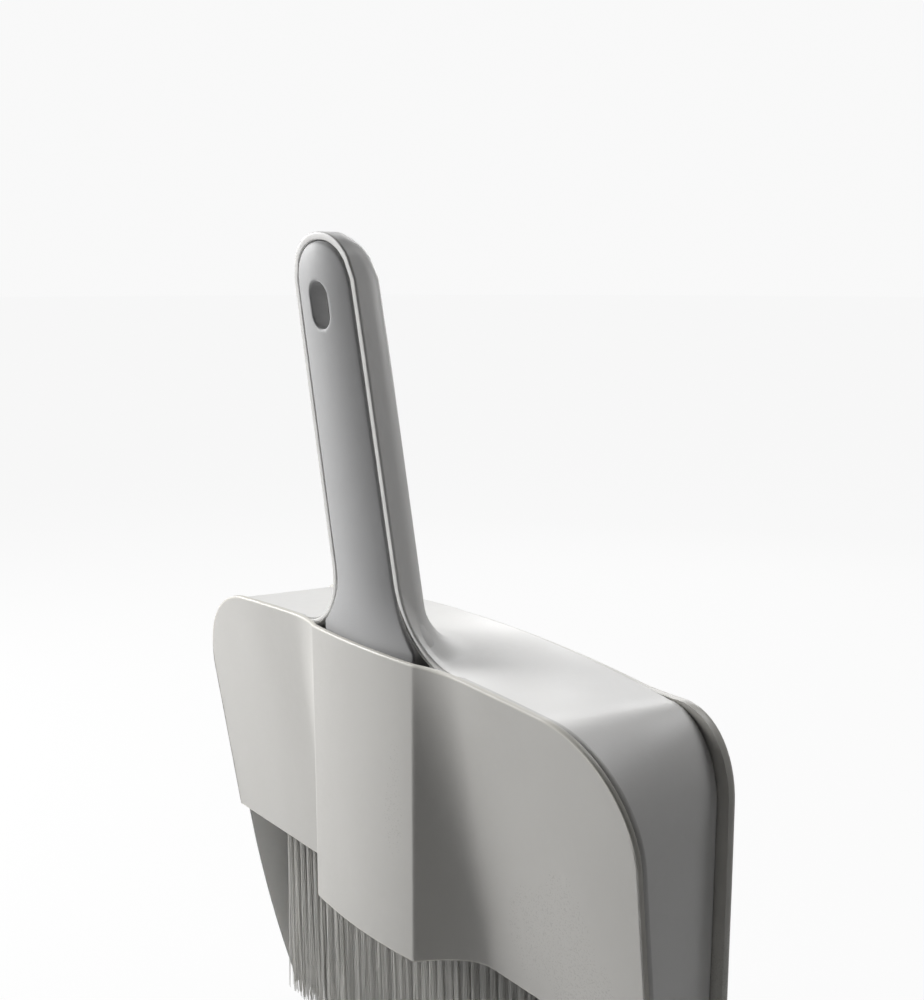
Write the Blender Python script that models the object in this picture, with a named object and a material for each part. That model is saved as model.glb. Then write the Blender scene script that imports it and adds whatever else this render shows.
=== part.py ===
"""Dustpan and brush set that hangs as one unit.

The brush sits in the pan: its grip fills the open channel of the pan's handle, and its hood closes the
pan's open front. It comes out straight towards the front, along -Y.

Metres, +Z up, +X to the right, +Y towards the wall. Every outline below is written in millimetres from
the mouth of the pan (z = 0) and the joint between the pan's shell and its floor (y = 0). The two parent
empties move that frame so that the origin is the middle of the hanging slot, in the pan handle's back.
"""

import math

import bmesh
import bpy
from mathutils import Vector

MM = 0.001
GAP = 0.3

# The parting plane: the pan's front edge and the handle's rim lie in one plane, tilted from the floor.
TILT = math.tan(math.radians(8.0))
PARTING_Y = -48.7
SHOULDER_Z = 197.5

# Pan
PAN_WALL = 2.4
FRONT_OUTLINE = {"half_width": 122.0, "top": 198.0, "crown": 5.7, "corner_x": 38.0, "corner_z": 36.0}
BACK_OUTLINE = {"half_width": 109.5, "top": 198.5, "crown": 9.9, "corner_x": 20.0, "corner_z": 28.0}
OUTLINE_DEPTH = 49.5
SIDE_CURVE_Z = 95.0
SIDE_CURVE = 0.0009
FLOOR_BOTTOM_Z = 9.0
FLOOR_DEPTH = 5.2
FLOOR_SKIN = 2.4
FLANGE_TOP = 0.4
FLANGE_SIDE = 4.4
LIP_HALF_WIDTH = 111.0
LIP_TIP = 1.2

# Handle of the pan
HANDLE_TOP_Z = 333.2
HANDLE_RADIUS = 17.7
HANDLE_GROWTH = 0.02
HANDLE_END_POWER = 2.19
HANDLE_DEPTH = 12.5
HANDLE_CORNER = 7.0
RIM = 2.5
CHANNEL_DEPTH = 10.2
CHANNEL_CORNER = 4.5
ROOT_FILLET = 25.0
BACK_FILLET = 15.0
CHANNEL_ROOT_HALF_WIDTH = 36.0

# Hanging slot
SLOT_HALF_WIDTH = 4.8
SLOT_BOTTOM_Z = 303.2
SLOT_TOP_Z = 318.0

# Handle of the brush
GRIP_HALF_WIDTH = 14.9
GRIP_CROWN = 3.0
GRIP_LIFT = 2.3
GRIP_LIFT_TOP_Z = 218.0
GRIP_LIFT_HEIGHT = 24.0
GRIP_SKIN = 3.5
CORE_DEPTH = 9.8
GRIP_FLARE_Z = 222.0
GRIP_FLARE_RADIUS = 30.0
GRIP_WIDEST = 26.4
GRIP_BOTTOM_Z = 186.0
TANG_HALF_WIDTH = 20.0
TANG_BOTTOM_Z = 100.0
TANG_WAIST_Z = 150.0

# Hood of the brush
HOOD_SKIN = 1.8
HOOD_BOTTOM_Z = 96.0
HOOD_RISE = 1.4
SPINE_Y = -54.2
SPINE_HALF_WIDTH = 29.7
SPINE_CROWN = 2.2
SPINE_RAMP = 20.0
HOOD_TAPER = 0.00028
RAMP_POWER = 2.2
BOSS_RADIUS = 4.2
HOOD_SCREW_X = (-92.0, -60.0, 60.0, 92.0)
SCREW_Z = 106.0

# Bristle block and bristles
BLOCK_HALF_WIDTH = 103.0
BLOCK_Y = (-30.0, -4.0)
BLOCK_Z = (94.0, 118.0)
ROW_Y = (-26.2, -21.6, -17.0, -12.4, -7.8)
ROW_THICKNESS = 3.6
ROW_TIP_Z = 14.0
ROW_LEAN = 3.0
ROW_SPLAY = 0.06
TUFT_PITCH = 10.0

# Screws
SCREW_RADIUS = 1.5
HEAD_RADIUS = 3.0
HEAD_HEIGHT = 2.0
RECESS_RADIUS = 4.0
RECESS_DEPTH = 5.0
HANDLE_SCREW_X = (-11.0, 11.0)

ORIGIN = Vector((0.0, -54.2, (SLOT_BOTTOM_Z + SLOT_TOP_Z) / 2)) * MM

COLOURS = {
    "pan_grey": ((0.66, 0.66, 0.645, 1.0), 0.45),
    "warm_grey": ((0.56, 0.55, 0.52, 1.0), 0.42),
    "soft_grey": ((0.33, 0.33, 0.34, 1.0), 0.62),
    "lip_grey": ((0.24, 0.24, 0.245, 1.0), 0.70),
    "bristle_white": ((0.72, 0.71, 0.68, 1.0), 0.60),
    "screw_steel": ((0.60, 0.60, 0.60, 1.0), 0.30),
}


def clear_scene():
    for obj in list(bpy.data.objects):
        bpy.data.objects.remove(obj)


def make_material(name):
    colour, roughness = COLOURS[name]
    material = bpy.data.materials.get(name) or bpy.data.materials.new(name)
    material.use_nodes = True
    shader = material.node_tree.nodes["Principled BSDF"]
    shader.inputs["Base Color"].default_value = colour
    shader.inputs["Roughness"].default_value = roughness
    shader.inputs["Metallic"].default_value = 1.0 if name == "screw_steel" else 0.0
    return material


def make_parent(name):
    """An empty that carries one body's pieces and moves its frame to the hanging slot."""
    empty = bpy.data.objects.new(name, None)
    empty.location = -ORIGIN
    bpy.context.collection.objects.link(empty)
    return empty


def parting_y(z):
    """The y of the parting plane at height z. Near the mouth the pan's sides curve back from it."""
    return PARTING_Y - TILT * (z - SHOULDER_Z) + SIDE_CURVE * max(0.0, SIDE_CURVE_Z - z) ** 2


def loft(name, rings, parent, material, cutter=False):
    """A closed solid through rings with the same number of points, with a flat cap on each end."""
    bm = bmesh.new()
    loops = [[bm.verts.new(Vector(point) * MM) for point in ring] for ring in rings]
    count = len(loops[0])
    for lower, upper in zip(loops, loops[1:]):
        for i in range(count):
            j = (i + 1) % count
            bm.faces.new((lower[i], lower[j], upper[j], upper[i]))
    bm.faces.new(reversed(loops[0]))
    bm.faces.new(loops[-1])
    bmesh.ops.recalc_face_normals(bm, faces=bm.faces)
    bmesh.ops.triangulate(bm, faces=[face for face in bm.faces if len(face.verts) > 4])
    mesh = bpy.data.meshes.new(name)
    bm.to_mesh(mesh)
    bm.free()
    mesh.shade_smooth()
    mesh.set_sharp_from_angle(angle=math.radians(35))
    obj = bpy.data.objects.new(name, mesh)
    obj.parent = parent
    bpy.context.collection.objects.link(obj)
    if cutter:
        obj.hide_render = True
        obj.display_type = "WIRE"
    else:
        mesh.materials.append(make_material(material))
    return obj


def cut(target, tool, operation="DIFFERENCE"):
    modifier = target.modifiers.new(tool.name, "BOOLEAN")
    modifier.operation = operation
    modifier.object = tool
    return target


def half_outline(half_width, top, crown, corner_x, corner_z, bottom, inset=0.0):
    """(x, z) points of one half of the pan's arch, from the middle of the top to the bottom of the side."""
    width = half_width - inset
    reach = width - (corner_x - inset)
    points = []
    for i in range(10):
        x = reach * i / 10
        points.append((x, top - inset - crown * (x / half_width) ** 2))
    shoulder = top - inset - crown * (reach / half_width) ** 2
    for i in range(11):
        angle = math.pi / 2 * i / 10
        points.append(
            (
                reach + (corner_x - inset) * math.sin(angle),
                shoulder - (corner_z - inset) * (1 - math.cos(angle)),
            )
        )
    side_top = points[-1][1]
    for i in range(1, 9):
        points.append((width, side_top + (bottom - side_top) * i / 8))
    return points


def whole_outline(half):
    """The arch from the bottom of the left side, over the top, to the bottom of the right side."""
    return [(-x, z) for x, z in reversed(half[1:])] + half


def wall_rings():
    """The front and the back ring of the pan's wall: the arch outside, then back along the inside."""
    rings = [[], []]
    for inset in (0.0, PAN_WALL):
        front = whole_outline(half_outline(**FRONT_OUTLINE, bottom=FLOOR_BOTTOM_Z, inset=inset))
        back = whole_outline(half_outline(**BACK_OUTLINE, bottom=FLOOR_BOTTOM_Z, inset=inset))
        pairs = list(zip(front, back))
        if inset:
            pairs.reverse()
        for (front_x, front_z), (back_x, back_z) in pairs:
            y = parting_y(front_z)
            share = 1 + y / OUTLINE_DEPTH
            rings[0].append((front_x + (back_x - front_x) * share, y, front_z + (back_z - front_z) * share))
            rings[1].append((back_x, 0.0, back_z))
    return rings


def end_share(z, top, radius):
    """How wide a handle's round end is at height z, as a share of its full width."""
    rise = max(0.0, z - (top - radius)) / radius
    return max(0.0, 1 - rise**HANDLE_END_POWER) ** (1 / HANDLE_END_POWER)


def root_fillet(z, radius=ROOT_FILLET):
    """How far the pan's handle has widened at height z, on its way into the shoulder."""
    depth = min(radius, max(0.0, SHOULDER_Z + radius - z))
    return radius - math.sqrt(max(0.0, radius**2 - depth**2))


def handle_half_width(z):
    return HANDLE_RADIUS + HANDLE_GROWTH * max(0.0, HANDLE_TOP_Z - HANDLE_RADIUS - z)


def d_section(z, half_width, front, back, corner, steps=5, narrowing=0.0):
    """A flat-fronted section at height z, with two round corners at its back, where it can be narrower."""
    back_half_width = half_width - narrowing
    corner = min(corner, back_half_width * 0.98, (back - front) * 0.98)
    points = [(-half_width, front, z), (half_width, front, z)]
    for side, start in ((1, 0), (-1, 90)):
        for i in range(steps + 1):
            angle = math.radians(start + 90 * i / steps)
            x = side * (back_half_width - corner) + corner * math.cos(angle)
            points.append((x, back - corner + corner * math.sin(angle), z))
    return points


def heights(bottom, top, radius):
    """Section heights for a handle: close together at the root and in the round end."""
    levels = [bottom + (223.0 - bottom) * i / 9 for i in range(10)]
    end = top - radius
    levels += [223.0 + (end - 223.0) * i / 3 for i in range(1, 4)]
    levels += [end + radius * math.sin(math.radians(90 * i / 9)) * 0.999 for i in range(1, 10)]
    return levels


def make_pan_shell(parent):
    """Shoulder and side walls, with the channel handle growing out of the shoulder."""
    shell = loft("pan_shell", wall_rings(), parent, "pan_grey")
    body = []
    for z in heights(196.3, HANDLE_TOP_Z, HANDLE_RADIUS):
        flare = root_fillet(z)
        back_flare = root_fillet(z, BACK_FILLET)
        share = end_share(z, HANDLE_TOP_Z, HANDLE_RADIUS)
        width = handle_half_width(z) * share + flare
        front = parting_y(z)
        back = front + HANDLE_DEPTH * (0.55 + 0.45 * share) + back_flare
        corner = HANDLE_CORNER + back_flare
        body.append(d_section(z, width, front, back, corner, narrowing=flare - back_flare))
    cut(shell, loft("handle_body", body, parent, None, cutter=True), "UNION")
    channel = []
    top = HANDLE_TOP_Z - RIM
    for z in heights(188.0, top, HANDLE_RADIUS - RIM):
        share = end_share(z, top, HANDLE_RADIUS - RIM)
        width = (handle_half_width(z) - RIM) * share + root_fillet(z)
        width = min(width, CHANNEL_ROOT_HALF_WIDTH)
        back = parting_y(z) + CHANNEL_DEPTH * (0.6 + 0.4 * share)
        channel.append(d_section(z, width, parting_y(z) - 8.0, back, CHANNEL_CORNER))
    cut(shell, loft("handle_channel", channel, parent, None, cutter=True))
    return cut(shell, make_slot_cutter(parent))


def make_slot_cutter(parent):
    """The hanging slot, a stadium that runs right through both handles."""
    ring = []
    for middle, start in ((SLOT_TOP_Z - SLOT_HALF_WIDTH, 0), (SLOT_BOTTOM_Z + SLOT_HALF_WIDTH, 180)):
        for i in range(9):
            angle = math.radians(start + 180 * i / 8)
            ring.append((SLOT_HALF_WIDTH * math.cos(angle), middle + SLOT_HALF_WIDTH * math.sin(angle)))
    rings = [[(x, y, z) for x, z in ring] for y in (-90.0, -30.0)]
    return loft("hanging_slot", rings, parent, None, cutter=True)


def flange(x, z):
    """How far the floor's edge stands out past the shell: little at the top, more down the sides."""
    share = min(1.0, max(0.0, (abs(x) - 70.0) / 35.0))
    return FLANGE_TOP + (FLANGE_SIDE - FLANGE_TOP) * share * share * (3 - 2 * share)


def floor_ring(y, inset):
    """The floor's outline at depth y: the shell's back outline with its flange, moved in by inset."""
    centre = BACK_OUTLINE["top"] - 70.0
    ring = []
    for x, z in whole_outline(half_outline(**BACK_OUTLINE, bottom=FLOOR_BOTTOM_Z)):
        up = max(0.0, z - centre)
        length = math.hypot(x, up)
        out = flange(x, z) - inset
        ring.append((x + out * x / length, y, z + out * up / length))
    return ring


def make_pan_floor(parent):
    """A shallow tray welded to the back of the shell, with its edge rounded off at the back."""
    profile = ((GAP, 0.0), (1.8, 0.0), (3.4, 0.6), (4.6, 1.8), (FLOOR_DEPTH, 3.6))
    rings = [floor_ring(y, inset) for y, inset in profile]
    tray = loft("pan_floor", rings, parent, "warm_grey")
    inner = half_outline(**BACK_OUTLINE, bottom=FLOOR_BOTTOM_Z - 5.0, inset=PAN_WALL)
    recess = [[(x, y, z) for x, z in whole_outline(inner)] for y in (-3.0, FLOOR_DEPTH - FLOOR_SKIN)]
    return cut(tray, loft("floor_recess", recess, parent, None, cutter=True))


def make_pan_lip(parent):
    """Flexible blade along the mouth, thinning towards the underside of the pan."""
    top = FLOOR_BOTTOM_Z - GAP
    section = [
        (FLOOR_DEPTH - LIP_TIP, 0.0),
        (FLOOR_DEPTH, 0.0),
        (FLOOR_DEPTH, top),
        (GAP + 0.2, top),
        (GAP + 0.8, top - 2.5),
    ]
    rings = [[(x, y, z) for y, z in section] for x in (-LIP_HALF_WIDTH, LIP_HALF_WIDTH)]
    return loft("pan_lip", rings, parent, "lip_grey")


def grip_half_width(z):
    """Half the width of the brush's handle at height z, without its round end."""
    width = GRIP_HALF_WIDTH + HANDLE_GROWTH * max(0.0, HANDLE_TOP_Z - HANDLE_RADIUS - z)
    depth = min(GRIP_FLARE_RADIUS, max(0.0, GRIP_FLARE_Z - z))
    return min(GRIP_WIDEST, width + GRIP_FLARE_RADIUS - math.sqrt(GRIP_FLARE_RADIUS**2 - depth**2))


def crowned_section(z, half_width, crown, back):
    """A section with a flat back and a front that bulges towards the hand, at height z.

    Near the hood the whole front comes forward, towards the hood's spine.
    """
    share = min(1.0, max(0.0, (GRIP_LIFT_TOP_Z - z) / GRIP_LIFT_HEIGHT))
    front = parting_y(z) - GRIP_LIFT * share * share * (3 - 2 * share)
    points = [(half_width, back, z), (-half_width, back, z)]
    for i in range(13):
        x = half_width * (i / 6 - 1)
        points.append((x, front - crown * (1 - (x / half_width) ** 2), z))
    return points


def make_grip(parent):
    """Soft skin that the hand holds, moulded over the rigid core."""
    top = HANDLE_TOP_Z - RIM - GAP
    radius = GRIP_HALF_WIDTH
    rings = []
    for z in heights(GRIP_BOTTOM_Z, top, radius):
        share = end_share(z, top, radius)
        crown = 0.2 + (GRIP_CROWN - 0.2) * share
        rings.append(crowned_section(z, grip_half_width(z) * share, crown, parting_y(z) + GRIP_SKIN))
    return cut(loft("handle_grip", rings, parent, "soft_grey"), make_slot_cutter(parent))


def core_half_width(z):
    """The core follows the grip, then narrows to the tang that enters the bristle block."""
    share = min(1.0, max(0.0, (GRIP_BOTTOM_Z - z) / (GRIP_BOTTOM_Z - TANG_WAIST_Z)))
    return grip_half_width(z) + (TANG_HALF_WIDTH - GRIP_WIDEST) * share


def make_core(parent):
    """Rigid bar under the grip, which runs down behind the hood into the bristle block."""
    top = HANDLE_TOP_Z - RIM - GAP
    radius = GRIP_HALF_WIDTH
    rings = []
    levels = [TANG_BOTTOM_Z, TANG_WAIST_Z, 162.0, 174.0] + heights(GRIP_BOTTOM_Z, top, radius)
    for z in levels:
        share = end_share(z, top, radius)
        front = parting_y(z) + GRIP_SKIN + GAP
        back = parting_y(z) + CORE_DEPTH * (0.6 + 0.4 * share)
        rings.append(d_section(z, core_half_width(z) * share, front, back, CHANNEL_CORNER - 0.6, steps=3))
    return cut(loft("handle_core", rings, parent, "pan_grey"), make_slot_cutter(parent))


def hood_face(x, z):
    """The y of the hood's outer face: flat wings that follow the parting plane, and a raised spine."""
    wing = PARTING_Y - TILT * (z - SHOULDER_Z) - GAP - HOOD_SKIN
    rise = wing - SPINE_Y
    across = abs(x)
    if across <= SPINE_HALF_WIDTH:
        return SPINE_Y - SPINE_CROWN * (1 - (across / SPINE_HALF_WIDTH) ** 2)
    share = min(1.0, (across - SPINE_HALF_WIDTH) / SPINE_RAMP)
    return wing - rise * (1 - share) ** RAMP_POWER


def hood_columns():
    """(x, top z) for each column of the hood, from the middle to the edge of one side."""
    half = half_outline(**FRONT_OUTLINE, bottom=HOOD_BOTTOM_Z, inset=0.5)
    arch = [point for point in half if point[1] > 163.0]
    crossings = [SPINE_HALF_WIDTH * i / 4 for i in range(5)]
    crossings += [SPINE_HALF_WIDTH + SPINE_RAMP * (i / 6) ** 1.5 for i in range(1, 7)]
    width = FRONT_OUTLINE["half_width"]
    columns = [(x, FRONT_OUTLINE["top"] - 0.5 - FRONT_OUTLINE["crown"] * (x / width) ** 2) for x in crossings]
    columns += [point for point in arch if point[0] > crossings[-1] + 3.0]
    return [(x, z + HOOD_RISE) for x, z in columns]


def hood_inner(x, z):
    """The point inside the skin from the outer face's point at x, never behind the parting plane."""
    step = 0.8
    slope = (hood_face(x + step, z) - hood_face(x - step, z)) / (2 * step)
    length = math.hypot(1.0, slope)
    y = hood_face(x, z) + HOOD_SKIN / length
    return x - HOOD_SKIN * slope / length, min(y, PARTING_Y - TILT * (z - SHOULDER_Z) - GAP)


def make_hood(parent):
    """Thin panel that closes the pan's front and covers the root of the bristles."""
    half = hood_columns()
    columns = [(-x, z) for x, z in reversed(half[1:])] + half
    rings = []
    for column, top in columns:
        outer = []
        inner = []
        for i in range(7):
            z = HOOD_BOTTOM_Z + (top - HOOD_BOTTOM_Z) * i / 6
            x = column * (1 - HOOD_TAPER * (top - z))
            outer.append((x, hood_face(x, z), z))
            inner_x, inner_y = hood_inner(x, z)
            inner.append((inner_x, inner_y, z))
        rings.append(outer + inner[::-1])
    hood = loft("brush_hood", rings, parent, "warm_grey")
    for number, x in enumerate(HOOD_SCREW_X, 1):
        front = hood_face(x, SCREW_Z) + HOOD_SKIN / 2
        boss = make_round(f"boss_{number}", x, (front, BLOCK_Y[0] - GAP), BOSS_RADIUS, SCREW_Z, parent)
        cut(hood, boss, "UNION")
    for number, x in enumerate(HOOD_SCREW_X, 1):
        start = hood_face(x, SCREW_Z) + HOOD_SKIN
        hole = make_round(
            f"pilot_{number}", x, (start, BLOCK_Y[0] + 2.0), SCREW_RADIUS + GAP, SCREW_Z, parent
        )
        cut(hood, hole)
    return hood


def make_round(name, x, span, radius, z, parent, sides=12):
    """A round cutter along Y, between the two y values of span."""
    rings = []
    for y in span:
        rings.append(
            [
                (x + radius * math.cos(math.tau * i / sides), y, z + radius * math.sin(math.tau * i / sides))
                for i in range(sides)
            ]
        )
    return loft(name, rings, parent, None, cutter=True)


def make_block(parent):
    """Bar that holds the bristles, with a socket for the tang and a stepped hole for each screw."""
    half = BLOCK_HALF_WIDTH
    (front, back), (bottom, top) = BLOCK_Y, BLOCK_Z
    section = [(front, bottom), (back, bottom), (back, top - 5.0), (back - 5.0, top), (front, top)]
    rings = [[(x, y, z) for y, z in section] for x in (-half, half)]
    block = loft("bristle_block", rings, parent, "pan_grey")
    socket = []
    for z in (TANG_BOTTOM_Z - GAP, top + 6.0):
        front_y = parting_y(z) + GRIP_SKIN
        back_y = parting_y(z) + CORE_DEPTH + 0.4
        socket.append(d_section(z, TANG_HALF_WIDTH + GAP, front_y, back_y, 2.0, steps=3))
    cut(block, loft("tang_socket", socket, parent, None, cutter=True))
    for number, x in enumerate(HOOD_SCREW_X + HANDLE_SCREW_X, 1):
        hole = make_round(f"hole_{number}", x, (front - 2, back + 2), SCREW_RADIUS + GAP, SCREW_Z, parent)
        recess = make_round(
            f"recess_{number}", x, (back - RECESS_DEPTH, back + 3), RECESS_RADIUS, SCREW_Z, parent
        )
        cut(block, hole)
        cut(block, recess)
    return block


def make_bristle_row(number, y, parent):
    """One row of bristles as a solid strip, scalloped where its tufts stand side by side."""
    top = BLOCK_Z[0] - GAP
    steps = 42
    splay = ROW_SPLAY * (y - ROW_Y[2])
    rings = []
    for z, half, middle in (
        (top, BLOCK_HALF_WIDTH - 4.0, y),
        (ROW_TIP_Z, BLOCK_HALF_WIDTH - 1.0, y + ROW_LEAN + splay),
    ):
        ring = []
        for side in (-1, 1):
            for k in range(steps + 1):
                x = half * side * (1 - 2 * k / steps)
                tuft = abs(math.sin(math.pi * x / TUFT_PITCH)) ** 0.5
                ring.append((x, middle + side * ROW_THICKNESS / 2 * (0.72 + 0.28 * tuft), z))
        rings.append(ring)
    return loft(f"bristle_row_{number}", rings, parent, "bristle_white")


def make_screw(name, x, tip, parent):
    """Pan-head screw along Y: its head lies in the block's recess and its tip points to the front."""
    seat = BLOCK_Y[1] - RECESS_DEPTH + GAP
    profile = [
        (0.6, tip),
        (SCREW_RADIUS, tip + 1.2),
        (SCREW_RADIUS, seat),
        (HEAD_RADIUS, seat),
        (HEAD_RADIUS, seat + 0.6 * HEAD_HEIGHT),
        (0.6 * HEAD_RADIUS, seat + HEAD_HEIGHT),
    ]
    sides = 12
    rings = []
    for radius, y in profile:
        rings.append(
            [
                (
                    x + radius * math.cos(math.tau * i / sides),
                    y,
                    SCREW_Z + radius * math.sin(math.tau * i / sides),
                )
                for i in range(sides)
            ]
        )
    return loft(name, rings, parent, "screw_steel")


def make_dustpan():
    parent = make_parent("dustpan_frame")
    make_pan_shell(parent)
    make_pan_floor(parent)
    make_pan_lip(parent)


def make_brush():
    parent = make_parent("brush_frame")
    make_grip(parent)
    core = make_core(parent)
    make_hood(parent)
    make_block(parent)
    for number, y in enumerate(ROW_Y, 1):
        make_bristle_row(number, y, parent)
    for number, x in enumerate(HOOD_SCREW_X, 1):
        make_screw(f"hood_screw_{number}", x, hood_face(x, SCREW_Z) + HOOD_SKIN + GAP, parent)
    for number, x in enumerate(HANDLE_SCREW_X, 1):
        tip = parting_y(SCREW_Z) + GRIP_SKIN + 1.5
        span = (tip - GAP, parting_y(SCREW_Z) + CORE_DEPTH + 3.0)
        cut(core, make_round(f"tang_hole_{number}", x, span, SCREW_RADIUS + GAP, SCREW_Z, parent))
        make_screw(f"handle_screw_{number}", x, tip, parent)


clear_scene()
make_dustpan()
make_brush()
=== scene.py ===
"""Looks of a hanging dust pan and brush set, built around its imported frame.

Every size below is in millimetres, measured from the mouth of the pan (z = 0), the joint between the pan's
shell and its floor (y = 0) and the middle of the pan (x = 0). A piece is moved to the frame's own origin,
the middle of the hanging slot, when its mesh is made.
"""

import logging
import math
from collections.abc import Callable
from dataclasses import dataclass, field
from enum import Enum
from typing import Any

import bmesh
import bpy
import numpy as np
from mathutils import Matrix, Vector

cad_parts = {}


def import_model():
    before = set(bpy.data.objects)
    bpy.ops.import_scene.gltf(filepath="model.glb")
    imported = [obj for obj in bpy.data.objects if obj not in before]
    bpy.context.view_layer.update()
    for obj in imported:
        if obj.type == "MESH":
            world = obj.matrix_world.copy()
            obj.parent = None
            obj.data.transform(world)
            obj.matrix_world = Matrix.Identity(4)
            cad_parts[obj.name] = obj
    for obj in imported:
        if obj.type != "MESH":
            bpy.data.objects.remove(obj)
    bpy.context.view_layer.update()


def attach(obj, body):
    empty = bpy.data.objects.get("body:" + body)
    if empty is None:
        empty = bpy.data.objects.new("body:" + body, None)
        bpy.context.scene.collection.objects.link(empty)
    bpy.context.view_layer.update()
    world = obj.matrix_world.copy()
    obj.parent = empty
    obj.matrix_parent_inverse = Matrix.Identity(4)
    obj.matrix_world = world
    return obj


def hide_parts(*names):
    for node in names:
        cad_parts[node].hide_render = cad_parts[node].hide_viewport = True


Array = np.ndarray
LOG = logging.getLogger("dustpan")
MM = 0.001
GAP = 0.3
ORIGIN = np.array((0.0, -54.2, 310.6))
WELD = 0.000002


class Body(Enum):
    """The two bodies of the frame."""

    DUSTPAN = "dustpan"
    BRUSH = "brush"


class Slot(Enum):
    """Names of material slots."""

    PAN = "pan_grey"
    WARM = "warm_grey"
    SOFT = "soft_grey"
    LIP = "lip_grey"
    BRISTLE = "bristle_white"
    STEEL = "screw_steel"


# ---------------------------------------------------------------- shared shape


@dataclass(frozen=True)
class Outline:
    """One arch of the pan: a crowned top, an elliptical corner and a straight side.

    Attributes:
        half_width: Half the width across the sides.
        top: Height of the crown's middle.
        crown: Drop of the crown at the full half width.
        corner_x: Width of the corner's ellipse.
        corner_z: Height of the corner's ellipse.
    """

    half_width: float
    top: float
    crown: float
    corner_x: float
    corner_z: float

    def inset(self, step: float) -> "Outline":
        """The same arch moved inwards, with its crown's curve kept.

        Args:
            step: How far the top and the sides move in.

        Returns:
            The smaller arch.
        """
        scale = ((self.half_width - step) / self.half_width) ** 2
        return Outline(
            self.half_width - step,
            self.top - step,
            self.crown * scale,
            self.corner_x - step,
            self.corner_z - step,
        )

    def point(self, q: Array, bottom: float) -> tuple[Array, Array]:
        """Points of the right half.

        The crown runs over q from 0 to 1 with a drop that grows as the square of x, the corner over 1 to 2
        as a quarter of an ellipse, and the side over 2 to 3 as a straight line.

        Args:
            q: Places along the half outline, from 0 to 3.
            bottom: Height where the side ends.

        Returns:
            The x and z of each point.
        """
        reach = self.half_width - self.corner_x
        share = np.clip(q, 0, 1)
        angle = np.clip(q - 1, 0, 1) * math.pi / 2
        down = np.clip(q - 2, 0, 1)
        crown = self.crown * (reach * share / self.half_width) ** 2
        side_top = self.top - self.crown * (reach / self.half_width) ** 2 - self.corner_z
        x = reach * share + self.corner_x * np.sin(angle)
        z = self.top - crown - self.corner_z * (1 - np.cos(angle)) + (bottom - side_top) * down
        return x, z


FRONT = Outline(122.0, 198.0, 5.7, 38.0, 36.0)
BACK = Outline(109.5, 198.5, 9.9, 20.0, 28.0)
WALL_DEPTH = 49.5
PAN_BOTTOM = 9.0
TILT = math.tan(math.radians(8.0))
PARTING_Y = -48.7
SHOULDER_Z = 197.5
SIDE_CURVE_Z = 95.0
SIDE_CURVE = 0.0009


def parting(z: Array) -> Array:
    """The y of the parting plane at height z: a plane tilted by 8 degrees, curved back near the mouth."""
    return PARTING_Y - TILT * (z - SHOULDER_Z) + SIDE_CURVE * np.maximum(0, SIDE_CURVE_Z - z) ** 2


def parting_normal(z: Array) -> Array:
    """Unit normals of the parting surface at height z, from the slope of its y against z."""
    slope = -TILT - 2 * SIDE_CURVE * np.maximum(0, SIDE_CURVE_Z - z)
    normal = np.stack([np.zeros_like(z), np.ones_like(z), -slope], axis=-1)
    return normal / np.linalg.norm(normal, axis=-1, keepdims=True)


@dataclass(frozen=True)
class HandleEnd:
    """The width of a handle against its height, with a round end.

    Attributes:
        top: Height of the end.
        radius: Height of the round end, and half the handle's width there.
        growth: How much the half width grows for each millimetre further down.
        power: Power of the superellipse that the end follows; 2 is a circle.
    """

    top: float
    radius: float
    growth: float = 0.02
    power: float = 2.19

    @property
    def centre(self) -> float:
        """Height where the round end begins."""
        return self.top - self.radius

    def half_width(self, z: Array) -> Array:
        """Half the width at height z as if the handle had no round end."""
        return self.radius + self.growth * np.maximum(0, self.centre - z)

    def share(self, z: Array) -> Array:
        """How wide the end is at height z as a share of its full width, along the superellipse."""
        rise = np.clip((z - self.centre) / self.radius, 0, 1)
        return np.maximum(0, 1 - rise**self.power) ** (1 / self.power)

    def rim(self, count: int) -> tuple[Array, Array]:
        """Points round a quarter of the end, from its side to its top, evenly spaced in angle.

        Args:
            count: Number of steps.

        Returns:
            The x and z of each point, the first left out.
        """
        angle = np.linspace(0, math.pi / 2, count + 1)[1:]
        x = self.radius * np.maximum(0, np.cos(angle)) ** (2 / self.power)
        z = self.centre + self.radius * np.sin(angle) ** (2 / self.power)
        x[-1] = 0.0
        return x, z


PAN_HANDLE = HandleEnd(333.18, 17.7)
RIM = 2.5
BRUSH_HANDLE = HandleEnd(333.2 - RIM - GAP, 14.9)


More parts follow.
